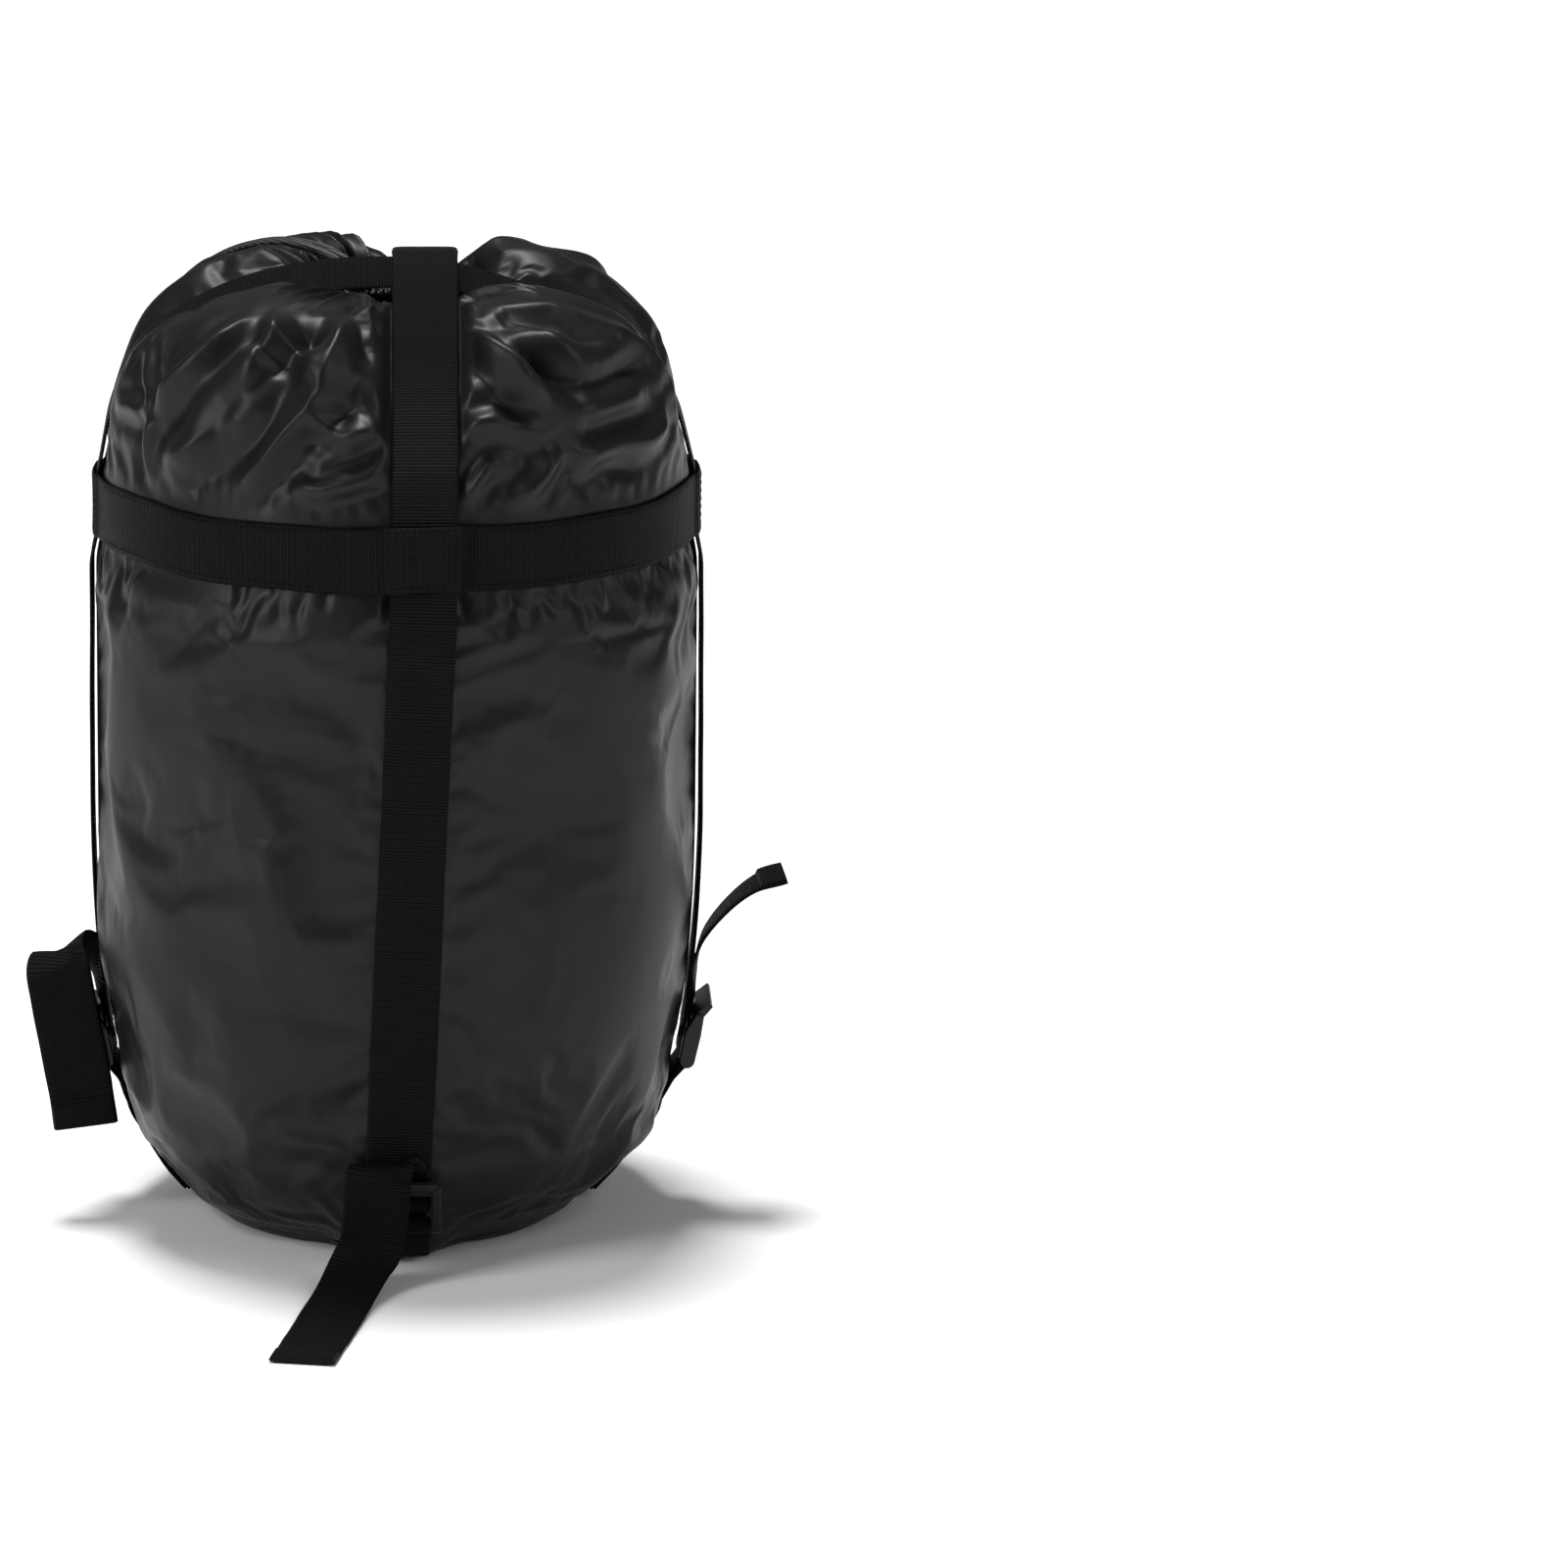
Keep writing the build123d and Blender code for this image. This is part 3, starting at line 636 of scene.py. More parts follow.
# Folds that run from the straps and up from the foot: points (azimuth, height), then how
# far the fold stands out in millimetres, and half its width. A gully's height is negative.
WALL_FOLDS = [
    ([(-96, 236), (-107, 243), (-119, 257)], 1.0, 6),
    ([(-95.5, 224), (-105, 231), (-117, 247)], -1.4, 7),
    ([(-95.5, 206), (-108, 217), (-122, 226)], 0.9, 6),
    ([(-95, 190), (-110, 203), (-126, 208)], 0.5, 8),
    ([(-82, 259), (-74, 262), (-66, 268)], 0.9, 4.5),
    ([(-82, 246), (-72, 252), (-61, 264)], 0.9, 5),
    ([(-83, 230), (-72, 238), (-58, 246)], 0.7, 7),
    ([(-77, 214), (-75, 186), (-76, 160), (-79, 132)], -1.7, 10),
    ([(-70, 176), (-74, 168), (-79, 166)], 0.6, 4),
    ([(-71, 158), (-75, 151), (-80, 148)], 0.6, 4),
    ([(-73, 140), (-76, 134), (-81, 130)], 0.6, 4),
    ([(-93, 52), (-103, 60), (-112, 70)], 1.2, 6),
    ([(-95, 40), (-106, 50), (-120, 56)], 1.8, 6),
    ([(-97, 28), (-106, 40), (-117, 46)], -1.5, 4),
    ([(-113, 24), (-108, 38), (-104, 46)], 1.2, 3.5),
    ([(-104, 8), (-107, 20), (-108, 34)], 1.5, 3),
    ([(-126, 14), (-113, 8), (-101, 6)], 1.4, 3),
    ([(-80, 110), (-74, 84), (-68, 56)], 0.9, 5),
    ([(-64, 92), (-61, 76), (-58, 58)], 0.9, 4),
    ([(-70, 56), (-64, 50), (-60, 40)], 0.9, 3.5),
    ([(-76, 16), (-68, 22), (-62, 30)], 1.0, 4),
    ([(-128, 150), (-138, 138), (-146, 152)], 1.2, 8),
    ([(-120, 178), (-134, 160), (-148, 148)], 0.9, 9),
    ([(-152, 120), (-140, 100), (-132, 78)], 0.9, 8),
    ([(-20, 262), (-24, 236), (-22, 208)], 1.4, 4),
    ([(-12, 258), (-20, 226), (-30, 190)], 1.0, 6),
    ([(30, 250), (40, 210), (52, 190)], 1.2, 6),
    ([(70, 236), (58, 246), (46, 262)], 1.3, 5),
    ([(80, 210), (66, 222), (52, 226)], 1.0, 6),
    ([(100, 240), (112, 250), (126, 262)], 1.3, 5),
    ([(98, 214), (112, 226), (128, 228)], 1.1, 6),
    ([(98, 60), (112, 74), (128, 78)], 1.3, 6),
    ([(82, 56), (68, 70), (52, 70)], 1.3, 6),
    ([(150, 240), (146, 214), (150, 190)], 1.2, 6),
    ([(165, 130), (150, 118), (138, 130)], 1.0, 8),
    ([(15, 128), (30, 112), (44, 122)], 1.0, 8),
]
WALL_FOLD_HEIGHT = 0.75  # the table's heights and widths are scaled by these
WALL_FOLD_WIDTH = 1.15
uneven_wall = wavy(wall, 1.6 * MM, 0.045, (41, 42, 43))
for points, height, width in WALL_FOLDS:
    line = through([on_wall(*p) for p in points], 12)
    fold = crease(uneven_wall, line, WALL_FOLD_HEIGHT * height * MM, WALL_FOLD_WIDTH * width * MM)
    lift += fold * smoothstep(2 * MM, 10 * MM, wall[:, 2])

WALL_EASE = 0.013
RING_EASE = 0.022
shaped = wall + outward * lift[:, None]
set_coordinates(body, shaped)
pin = np.clip(1 - smoothstep(10.5 * MM, 13 * MM, near_strap), 0, 1)
pin = np.maximum(pin, smoothstep(270 * MM, 276 * MM, wall[:, 2]))
pin = np.maximum(pin, 1 - smoothstep(1.5 * MM, 3 * MM, wall[:, 2]))
ease = WALL_EASE + RING_EASE * smoothstep(230 * MM, 270 * MM, wall[:, 2])
shaped = cloth(body, pin, ease, 1.5, 16, 5 * MM)


def keep_within(points, most, share):
    """Draw points of the wall in towards the axis where they are further out than most."""
    radial = np.hypot(points[:, 0], points[:, 1])
    excess = np.clip(radial - most, 0, None) * share
    points[:, 0] -= excess * np.cos(wall_azimuth)
    points[:, 1] -= excess * np.sin(wall_azimuth)


# Keep the fabric behind the straps that lie on it
STRAP_ROOM = 13.2 * MM
for side in SIDES:
    offset = np.abs(strap_offset(shaped, side))
    most = np.hypot(wall_radius(shaped[:, 2]) - 0.2 * MM, np.minimum(offset, 20 * MM))
    keep_within(shaped, most, (offset < STRAP_ROOM) & (shaped[:, 2] > 4 * MM))

# Keep it behind the ring band
bulge = 1.4 - 1.8 * smoothstep(260 * MM, 272 * MM, shaped[:, 2])
keep_within(shaped, BODY_RADIUS + bulge * MM, smoothstep(248 * MM, 264 * MM, shaped[:, 2]))

# A hollow behind the cord lock, deep enough for its button
HOLLOW = 0.8 * MM
lock_away = np.abs(np.degrees(wall_azimuth) - LOCK_AZIMUTH)
hollow = smoothstep(15, 6, lock_away) * smoothstep(178 * MM, 200 * MM, shaped[:, 2])
hollow *= smoothstep(286 * MM, 264 * MM, shaped[:, 2])
keep_within(shaped, BODY_RADIUS - HOLLOW, hollow)
set_coordinates(body, cinch(shaped))
refine(body)
paint(body, nylon)
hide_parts("sack_body")
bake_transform(body)

# Bottom panel: a flat disc, a little crumpled, with its edge turned up to the seam
PANEL_ROWS = 26
PANEL_RADIUS = 81.5 * MM
PANEL_TURN_UP = 3.4 * MM
PANEL_TURN_START = 0.93  # the share of its radius at which it starts to turn up
panel_grid = np.zeros((PANEL_ROWS, COLUMNS, 3))
for row, part in enumerate(np.linspace(0, 1, PANEL_ROWS)):
    radius = (0.5 + 81.0 * part) * MM
    rise = PANEL_TURN_UP * max(0.0, (part - PANEL_TURN_START) / (1 - PANEL_TURN_START)) ** 1.6
    panel_grid[row, :, 0] = radius * np.cos(azimuths)
    panel_grid[row, :, 1] = radius * np.sin(azimuths)
    panel_grid[row, :, 2] = 0.5 * MM + rise
flat_panel = panel_grid.reshape(-1, 3)
panel_part = np.hypot(flat_panel[:, 0], flat_panel[:, 1]) / PANEL_RADIUS
flat_panel[:, :2] *= (1 - foot_inset(flat_panel) * panel_part / PANEL_RADIUS)[:, None]
flat_panel[:, 2] += 0.35 * MM * np.clip(waves(flat_panel, 5, 0.03), -1, 1.6)
panel = rows_object("bottom_fabric", flat_panel.reshape(panel_grid.shape))
paint(panel, nylon)
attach(panel, "base")
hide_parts("bottom_panel")

# Binding over the bottom seam, on the inside of the wall. Section: distance outwards, height
TAPE_SECTION = [(-2.9, 4.9), (-2.9, 8.5), (-2.9, 12.1), (-2.5, 12.6), (-2.1, 12.1), (-2.1, 8.5),
                (-2.1, 4.9), (-2.5, 4.4)]
TAPE_HEIGHT = 3.5 * MM
TAPE_GAP = 1.2 * MM
tape_grid = np.zeros((COLUMNS + 1, len(TAPE_SECTION), 3))
for row, angle in enumerate(np.append(azimuths, azimuths[0])):
    for column, (outwards, height) in enumerate(TAPE_SECTION):
        radius = float(wall_radius(TAPE_HEIGHT)) + outwards * MM
        tape_grid[row, column] = (radius * math.cos(angle), radius * math.sin(angle), height * MM)
tape_flat = tape_grid.reshape(-1, 3)
tape_radius = np.hypot(tape_flat[:, 0], tape_flat[:, 1])
tape_drawn = (foot_inset(tape_flat * [1, 1, 0.5]) + TAPE_GAP) / tape_radius
tape_flat[:, :2] *= (1 - tape_drawn)[:, None]
tape = rows_object("seam_binding", tape_flat.reshape(tape_grid.shape))
paint(tape, thread)
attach(tape, "base")
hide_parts("seam_tape")

# Straps over the top. Points: distance from the axis along the strap, height, twist in degrees.
OVER_SIDE = [
    (-118.9, 281, 0), (-118.6, 298, 0), (-113.6, 315, 3), (-108, 330, 8), (-99, 345, 14), (-80, 358, 18),
    (-60, 366.8, 19), (-40, 371.8, 19), (-20, 374.3, 19), (0, 374.8, 18), (20, 373.2, 17), (42, 367.5, 15),
    (68, 358.5, 12), (92, 345.5, 8), (104.5, 331, 4), (112.5, 314, 2), (118.2, 298, 0), (118.9, 281, 0),
]
OVER_FRONT = [
    (-119.1, 281, 0), (-118.4, 298, 0), (-112.8, 315, 0), (-105.5, 331, 0), (-94.5, 345.5, 0),
    (-77, 356.5, 0), (-57, 364.8, 0), (-37, 371.5, 0), (-20, 376.6, 0), (-5, 379.2, 0), (12, 380.0, 0), (30, 378.6, 0),
    (50, 374.5, 0), (72, 367, 0), (92, 354.5, 0), (104, 338, 0), (112, 319, 0),
    (118.2, 299, 0), (119.1, 281, 0),
]


# Dome: rows from under the ring band over the shoulder to the mouth
DOME_ROWS = 78
DOME_COLUMNS = 480
FRONT_LOBE = [  # radius and height, in millimetres, as in the two profiles after it
    (118, 279), (118.2, 290), (117.6, 299), (114, 314), (111.2, 328), (107.5, 341), (101.5, 352.5),
    (91.5, 361.5), (78, 367), (62, 370), (45, 371), (30, 368), (19, 363), (16.5, 359.5),
]
BACK_LOBE = [
    (118, 279), (118.2, 290), (117.8, 299), (114.5, 315), (111.5, 330), (107.5, 343), (101, 354.5),
    (90, 363.5), (76, 370), (60, 374), (44, 374.5), (30, 370), (19, 363), (16.5, 359.5),
]
UNDER_STRAP = [
    (118, 279), (118, 290), (117, 299), (112.2, 314), (107.8, 328), (102, 339), (94.5, 348.5),
    (83, 357), (70, 363), (57, 367), (43, 369.3), (30, 367), (19, 362), (16.5, 359),
]
BACK_RIGHT_SWELL = 4  # how much higher the top swells between the straps at the back
BACK_LEFT_SWELL = 3
front_lobe = through(FRONT_LOBE, DOME_ROWS) * MM
back_lobe = through(BACK_LOBE, DOME_ROWS) * MM
under_strap = through(UNDER_STRAP, DOME_ROWS) * MM
dome_azimuths = np.linspace(-math.pi, math.pi, DOME_COLUMNS, endpoint=False)
backness = smoothstep(-0.25, 0.35, np.sin(dome_azimuths))[None, :, None]
lobe = front_lobe[:, None, :] * (1 - backness) + back_lobe[:, None, :] * backness
cosines, sines = np.cos(dome_azimuths)[None, :], np.sin(dome_azimuths)[None, :]
off_front_strap = np.abs(lobe[:, :, 0] * cosines - STRAP_SHIFT)
sideways = np.minimum(off_front_strap, np.abs(lobe[:, :, 0] * sines))
hold = (1 - smoothstep(11 * MM, 30 * MM, sideways))[:, :, None]
high = smoothstep(26 * MM, 52 * MM, lobe[:, :, 0]) * smoothstep(104 * MM, 78 * MM, lobe[:, :, 0])
at_back = smoothstep(0.05, 0.55, sines)
swell = BACK_RIGHT_SWELL * (smoothstep(0.1, 0.6, cosines) * at_back)
swell = swell + BACK_LEFT_SWELL * (smoothstep(0.1, 0.6, -cosines) * at_back)
lobe[:, :, 1] += swell * MM * high
profile = lobe * (1 - hold) + under_strap[:, None, :] * hold
dome_grid = np.stack([profile[:, :, 0] * cosines, profile[:, :, 0] * sines, profile[:, :, 1]], axis=-1)
dome = rows_object("dome_fabric", dome_grid)


def grid_normals(grid):
    """Outward unit normals of a closed grid whose rows climb towards the axis."""
    round_it = np.roll(grid, -1, axis=1) - np.roll(grid, 1, axis=1)
    up_it = np.gradient(grid, axis=0)
    normal = np.cross(round_it, up_it)
    return normal / np.maximum(np.linalg.norm(normal, axis=2), 1e-12)[:, :, None]


dome_base = dome_grid.reshape(-1, 3)
dome_normal = grid_normals(dome_grid).reshape(-1, 3)
dome_radius = np.hypot(dome_base[:, 0], dome_base[:, 1])
dome_azimuth = np.arctan2(dome_base[:, 1], dome_base[:, 0])
climb = np.repeat(np.linspace(0, 1, DOME_ROWS), DOME_COLUMNS)
above_ring = smoothstep(0.10, 0.22, climb)
free = smoothstep(10 * MM, 20 * MM, sideways.reshape(-1))


def pleats(count, seed, wander):
    """Ridges that run towards the mouth, unevenly spaced and slightly bent."""
    random = np.random.default_rng(seed)
    angle = dome_azimuth.copy()
    for k in range(2, 9):
        start = random.uniform(0, 6.28)
        bend = 2.2 * climb * random.normal()
        angle += wander / k * np.sin(k * dome_azimuth + start + bend)
    return 1 - 2 * np.abs(np.sin(count * angle)) ** 0.7


PLEAT = 3.4 * MM
DOME_WAVE = 0.8 * MM
RING_PUCKER = 0.7 * MM
dome_lift = PLEAT * pleats(13, 21, 0.5) * smoothstep(74 * MM, 30 * MM, dome_radius)
dome_lift += DOME_WAVE * waves(dome_base, 23, 0.055) * above_ring
edge_room = smoothstep(0.24, 0.12, climb) * smoothstep(0.03, 0.09, climb)
dome_edge = np.stack([0.118 * np.cos(dome_azimuth), 0.118 * np.sin(dome_azimuth), 0.1 * climb], 1)
dome_lift += RING_PUCKER * waves(dome_edge, 24, 0.0105, 30) * edge_room


def on_dome(azimuth, part):
    """A point of the unfolded dome, by azimuth and share of the way from ring to mouth."""
    row = min(part, 1) * (DOME_ROWS - 1)
    column = (azimuth + 180) / 360 * DOME_COLUMNS
    return dome_grid[int(round(row)), int(round(column)) % DOME_COLUMNS]


# Folds of the gathered top: points (azimuth, share of the way up), height and half width in mm.
DOME_FOLDS = [
    ([(-144, 0.15), (-134, 0.25), (-124, 0.34), (-120, 0.46), (-119, 0.58)], 5.0, 7),
    ([(-125, 0.12), (-118, 0.22), (-112, 0.31), (-105, 0.41), (-104, 0.52), (-104, 0.74)], 5.0, 6),
    ([(-105, 0.41), (-110, 0.48), (-119, 0.55), (-130, 0.62)], 3.2, 5),
    ([(-107, 0.38), (-103, 0.33), (-97, 0.33), (-91, 0.37)], 3.4, 4.5),
    ([(-131, 0.22), (-123, 0.36), (-114, 0.50), (-110, 0.66)], -4.5, 6),
    ([(-100, 0.78), (-97, 0.64), (-91, 0.50)], 3.6, 4),
    ([(-111, 0.18), (-104, 0.19), (-97, 0.22), (-91, 0.27)], 3.2, 4.5),
    ([(-146, 0.31), (-155, 0.30), (-166, 0.28)], 2.6, 4),
    ([(-146, 0.31), (-139, 0.40), (-134, 0.50), (-128, 0.62)], 3.4, 5),
    ([(-146, 0.31), (-147, 0.22), (-145, 0.13)], 2.6, 4),
    ([(-146, 0.31), (-153, 0.38), (-158, 0.46)], 2.4, 4),
    ([(-60, 0.72), (-44, 0.64), (-33, 0.52), (-23, 0.41), (-18, 0.30), (-22, 0.16)], 3.6, 7),
    ([(-70, 0.66), (-67, 0.52), (-62, 0.40), (-58, 0.28)], 5.0, 5.5),
    ([(-58, 0.28), (-50, 0.25), (-40, 0.25), (-28, 0.27), (-19, 0.36)], 3.6, 6),
    ([(-65, 0.62), (-57, 0.48), (-48, 0.42), (-34, 0.40), (-20, 0.44)], -4.5, 6.5),
    ([(-61, 0.53), (-54, 0.42), (-47, 0.34)], -3.5, 6),
    ([(-77, 0.33), (-71, 0.34), (-64, 0.32), (-58, 0.28)], 3.2, 4.5),
    ([(-58, 0.28), (-61, 0.22), (-68, 0.14)], 3.6, 4.5),
    ([(-77, 0.15), (-75, 0.21), (-70, 0.27)], 3.0, 3.5),
    ([(-50, 0.14), (-44, 0.17), (-36, 0.15)], 2.0, 4),
    ([(160, 0.18), (150, 0.30), (146, 0.46), (140, 0.66)], 4.2, 7),
    ([(140, 0.14), (134, 0.28), (124, 0.40), (118, 0.62)], 4.4, 6),
    ([(118, 0.14), (114, 0.26), (106, 0.36), (100, 0.44)], 3.4, 5),
    ([(134, 0.28), (124, 0.24), (112, 0.26)], 3.0, 5),
    ([(152, 0.36), (140, 0.36), (130, 0.44), (126, 0.62)], -4.0, 6),
    ([(78, 0.14), (70, 0.26), (66, 0.42), (60, 0.66)], 4.4, 6),
    ([(62, 0.12), (54, 0.24), (46, 0.34), (38, 0.50), (34, 0.68)], 4.6, 6.5),
    ([(46, 0.34), (34, 0.28), (20, 0.30)], 3.2, 5),
    ([(60, 0.34), (52, 0.46), (46, 0.64)], -4.2, 6),
    ([(30, 0.14), (26, 0.22), (18, 0.26)], 2.8, 4.5),
]
DOME_FOLD_HEIGHT = 1.3  # the table's heights and widths are scaled by these
DOME_FOLD_WIDTH = 1.15
uneven_dome = wavy(dome_base, 0.8 * MM, 0.04, (51, 52, 53))
for points, height, width in DOME_FOLDS:
    line = through([on_dome(*p) for p in points], 14)
    dome_lift += crease(uneven_dome, line, DOME_FOLD_HEIGHT * height * MM, DOME_FOLD_WIDTH * width * MM)

DOME_EASE = 0.012
MOUTH_EASE = 0.085  # more cloth towards the mouth, where the same cloth goes round a smaller circle
dome_shaped = dome_base + dome_normal * (dome_lift * above_ring * (0.25 + 0.75 * free))[:, None]
set_coordinates(dome, dome_shaped)
pin = np.clip(1 - smoothstep(9.5 * MM, 12.5 * MM, sideways.reshape(-1)), 0, 1)
pin = np.maximum(pin, 1 - smoothstep(0.12, 0.15, climb))
pin = np.maximum(pin, smoothstep(0.975, 0.99, climb))
spare = np.clip((BODY_RADIUS - dome_radius) / BODY_RADIUS, 0, 1)
dome_shaped = cloth(dome, pin, DOME_EASE + MOUTH_EASE * spare, 3, 12, 8 * MM, bending=2)

TUCK_EDGE = 6  # the width over which tucked fabric comes out again beside a strap
TUCK_RISE = 7


def tuck(points, knots, azimuth, shift, half, under):
    """Move fabric that stands above a strap or cord over the top back under it."""
    x, y = unit(azimuth)
    path = through(knots, 400)
    away = (points[:, 0] * x + points[:, 1] * y) / MM
    lateral = (-points[:, 0] * y + points[:, 1] * x) / MM + shift
    rows = np.nonzero((np.abs(lateral) < half + TUCK_EDGE) & (away > path[:, 0].min() - 3))[0]
    flat = np.stack([away[rows], points[rows, 2] / MM], 1)
    twist = np.radians(np.interp(flat[:, 0], path[:, 0], path[:, 2]))
    flat[:, 1] -= lateral[rows] * np.sin(twist)
    gap = np.linalg.norm(flat[:, None, :] - path[None, :, :2], axis=2)
    nearest = gap.argmin(1)
    along = np.gradient(path[:, :2], axis=0)
    along /= np.linalg.norm(along, axis=1)[:, None]
    outwards = np.stack([-along[:, 1], along[:, 0]], 1)[nearest]
    height = np.sum((flat - path[nearest, :2]) * outwards, axis=1)
    allowed = -under + TUCK_RISE * smoothstep(half, half + TUCK_EDGE, np.abs(lateral[rows]))
    excess = np.clip(height - allowed, 0, None)
    points[rows, 0] -= excess * outwards[:, 0] * x * MM
    points[rows, 1] -= excess * outwards[:, 0] * y * MM
    points[rows, 2] -= excess * outwards[:, 1] * MM
    return points


CORD_ON_TOP = CORD_ROUTE[1:9]
CORD_TOP_AZIMUTH = 140
dome_shaped = tuck(dome_shaped, OVER_SIDE, 0, 0, STRAP_ROOM / MM, 1.5)
dome_shaped = tuck(dome_shaped, OVER_FRONT, 90, STRAP_SHIFT / MM, STRAP_ROOM / MM, 1.5)
cord_knots = [(radius, height, 0) for _, radius, height in CORD_ON_TOP]
dome_shaped = tuck(dome_shaped, cord_knots, CORD_TOP_AZIMUTH, 0, 5, 2)
set_coordinates(dome, cinch(dome_shaped))
refine(dome)
paint(dome, nylon)
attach(dome, "cap")
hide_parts("sack_dome")

# ---------------------------------------------------------------- webbing

STRAP_WIDTH = 25.6 * MM
STRAP_THICKNESS = 1.5 * MM
STRAP_SPACING = 1.2 * MM
HALF_SECTION = 23  # points across each face of the webbing
STITCH_PITCH = 3.1 * MM
STITCH_POINTS = [  # forwards, sideways and up, in millimetres: a thin lozenge with a raised back
    (-1.15, 0, 0), (0, -0.36, 0), (1.15, 0, 0), (0, 0.36, 0), (-0.6, 0, 0.34), (0.6, 0, 0.34),
]
STITCH_FACES = [(0, 1, 4), (1, 2, 5), (1, 5, 4), (2, 3, 5), (3, 0, 4), (3, 4, 5), (0, 3, 2, 1)]


def stitch(start, finish, at, side, points, faces):
    """Sew a row of stitches on a strip, from one (along, across) place to another."""
    start, finish = np.array(start, float), np.array(finish, float)
    reach = np.linalg.norm(finish - start)
    heading = (finish - start) / reach
    number = max(int(reach / STITCH_PITCH), 1)
    for k in range(number):
        u, v = start + heading * reach * (k + 0.5) / number
        place, wide, along, normal = at(u)
        forward = along * heading[0] + wide * heading[1]
        sideways = np.cross(normal, forward)
        top = place + wide * v + normal * side * (STRAP_THICKNESS / 2 - 0.05 * MM)
        first = len(points)
        for ahead, aside, up in STITCH_POINTS:
            points.append(top + (forward * ahead + sideways * aside + normal * side * up) * MM)
        for corners in STITCH_FACES:
            faces.append([first + corner for corner in corners])


def strip(name, line, across, seed, wobble=0.25, hem=0.0, rows=(), side=1):
    """A webbing strip: a line of centre points with the direction across at each.

    A hem doubles the last part of it. Rows of stitches go on its outer side, each from one
    (along, across) place to another, where a negative place is counted from the far end.
    """
    line, across = cinch(np.array(line, float)), np.array(across, float)
    length = np.concatenate([[0], np.cumsum(np.linalg.norm(np.diff(line, axis=0), axis=1))])
    count = max(int(length[-1] / STRAP_SPACING), 8)
    wanted = np.linspace(0, length[-1], count)
    centre = np.stack([np.interp(wanted, length, line[:, k]) for k in range(3)], 1)
    wide = np.stack([np.interp(wanted, length, across[:, k]) for k in range(3)], 1)
    along = np.gradient(centre, axis=0)
    along /= np.linalg.norm(along, axis=1)[:, None]
    wide -= along * np.sum(wide * along, axis=1)[:, None]
    wide /= np.linalg.norm(wide, axis=1)[:, None]
    normal = np.cross(along, wide)

    half = np.linspace(-1, 1, HALF_SECTION)
    half = np.sign(half) * np.abs(half) ** 0.8
    face = np.sqrt(np.clip(1 - np.abs(half) ** 9, 0, 1))
    outline_v = np.concatenate([half, half[-2:0:-1]])
    outline_h = np.concatenate([face, -face[-2:0:-1]])
    sway = waves(centre, 40 + seed, 0.05) * wobble * MM * 0.5
    edge = 1 + waves(centre, 60 + seed, 0.02) * 0.006
    doubled = smoothstep(length[-1] - hem, length[-1] - hem + 1 * MM, wanted) if hem else np.zeros(count)
    inner = np.where(outline_h * side < 0, 0.85 * STRAP_THICKNESS, 0)
    raised = outline_h[None, :] * STRAP_THICKNESS / 2 - side * doubled[:, None] * inner[None, :]
    grid = (
        centre[:, None, :]
        + wide[:, None, :] * (outline_v[None, :, None] * STRAP_WIDTH / 2 * edge[:, None, None])
        + normal[:, None, :] * (raised[:, :, None] + sway[:, None, None] * outline_v[None, :, None] ** 2)
    )
    uv = np.zeros(grid.shape[:2] + (2,))
    uv[:, :, 0] = wanted[:, None]
    uv[:, :, 1] = outline_v[None, :] * STRAP_WIDTH / 2
    thing = rows_object(name, grid, uv)

    # The two cut ends
    mesh = thing.data
    work = bmesh.new()
    work.from_mesh(mesh)
    work.verts.ensure_lookup_table()
    around = grid.shape[1]
    layer = work.loops.layers.uv["weave"]
    for first, place, order in ((0, 0.0, -1), ((count - 1) * around, wanted[-1], 1)):
        members = [work.verts[first + k] for k in range(around)]
        for loop in work.faces.new(members[::order]).loops:
            loop[layer].uv = (place, outline_v[loop.vert.index % around] * STRAP_WIDTH / 2)
    bmesh.ops.recalc_face_normals(work, faces=work.faces)

    def at(u):
        """Centre and directions across, along and outwards at a place along the strip."""
        return [
            np.array([np.interp(u, wanted, values[:, k]) for k in range(3)])
            for values in (centre, wide, along, normal)
        ]

    points, faces = [], []
    for start, finish in rows:
        start = (start[0] % length[-1], start[1])
        finish = (finish[0] if finish[0] > 0 else finish[0] + length[-1], finish[1])
        stitch(start, finish, at, side, points, faces)
    sewn = [work.verts.new(point) for point in points]
    for corners in faces:
        made = work.faces.new([sewn[corner] for corner in corners])
        made.material_index = 1
    work.to_mesh(mesh)
    work.free()
    paint(thing, webbing)
    if rows:
        mesh.materials.append(thread)
    return thing


def cross_row(place, reach):
    """A row of stitches straight across a strip."""
    return (place, -reach), (place + 1e-5, reach)


def lock_frame(side):
    """Origin, outwards, up and sideways directions of one ladder lock's plane."""
    x, y = unit(SIDES[side])
    height = LOCK_HEIGHTS[side]
    step = 0.05 * MM
    rise = (wall_radius(height + step) - wall_radius(height)) / step
    size = math.hypot(rise, 1)
    along, up = rise / size, 1 / size
    radius = float(wall_radius(height))
    origin = np.array([x * radius, y * radius, height])
    outwards = np.array([x * up, y * up, -along])
    upwards = np.array([x * along, y * along, up])
    return origin, outwards, upwards, np.array([-y, x, 0.0])


def in_lock(side, out, up, sideways=0.0):
    """A place in metres, from distances in millimetres in a ladder lock's own directions."""
    origin, outwards, upwards, across = lock_frame(side)
    return origin + (outwards * out + upwards * up + across * sideways) * MM


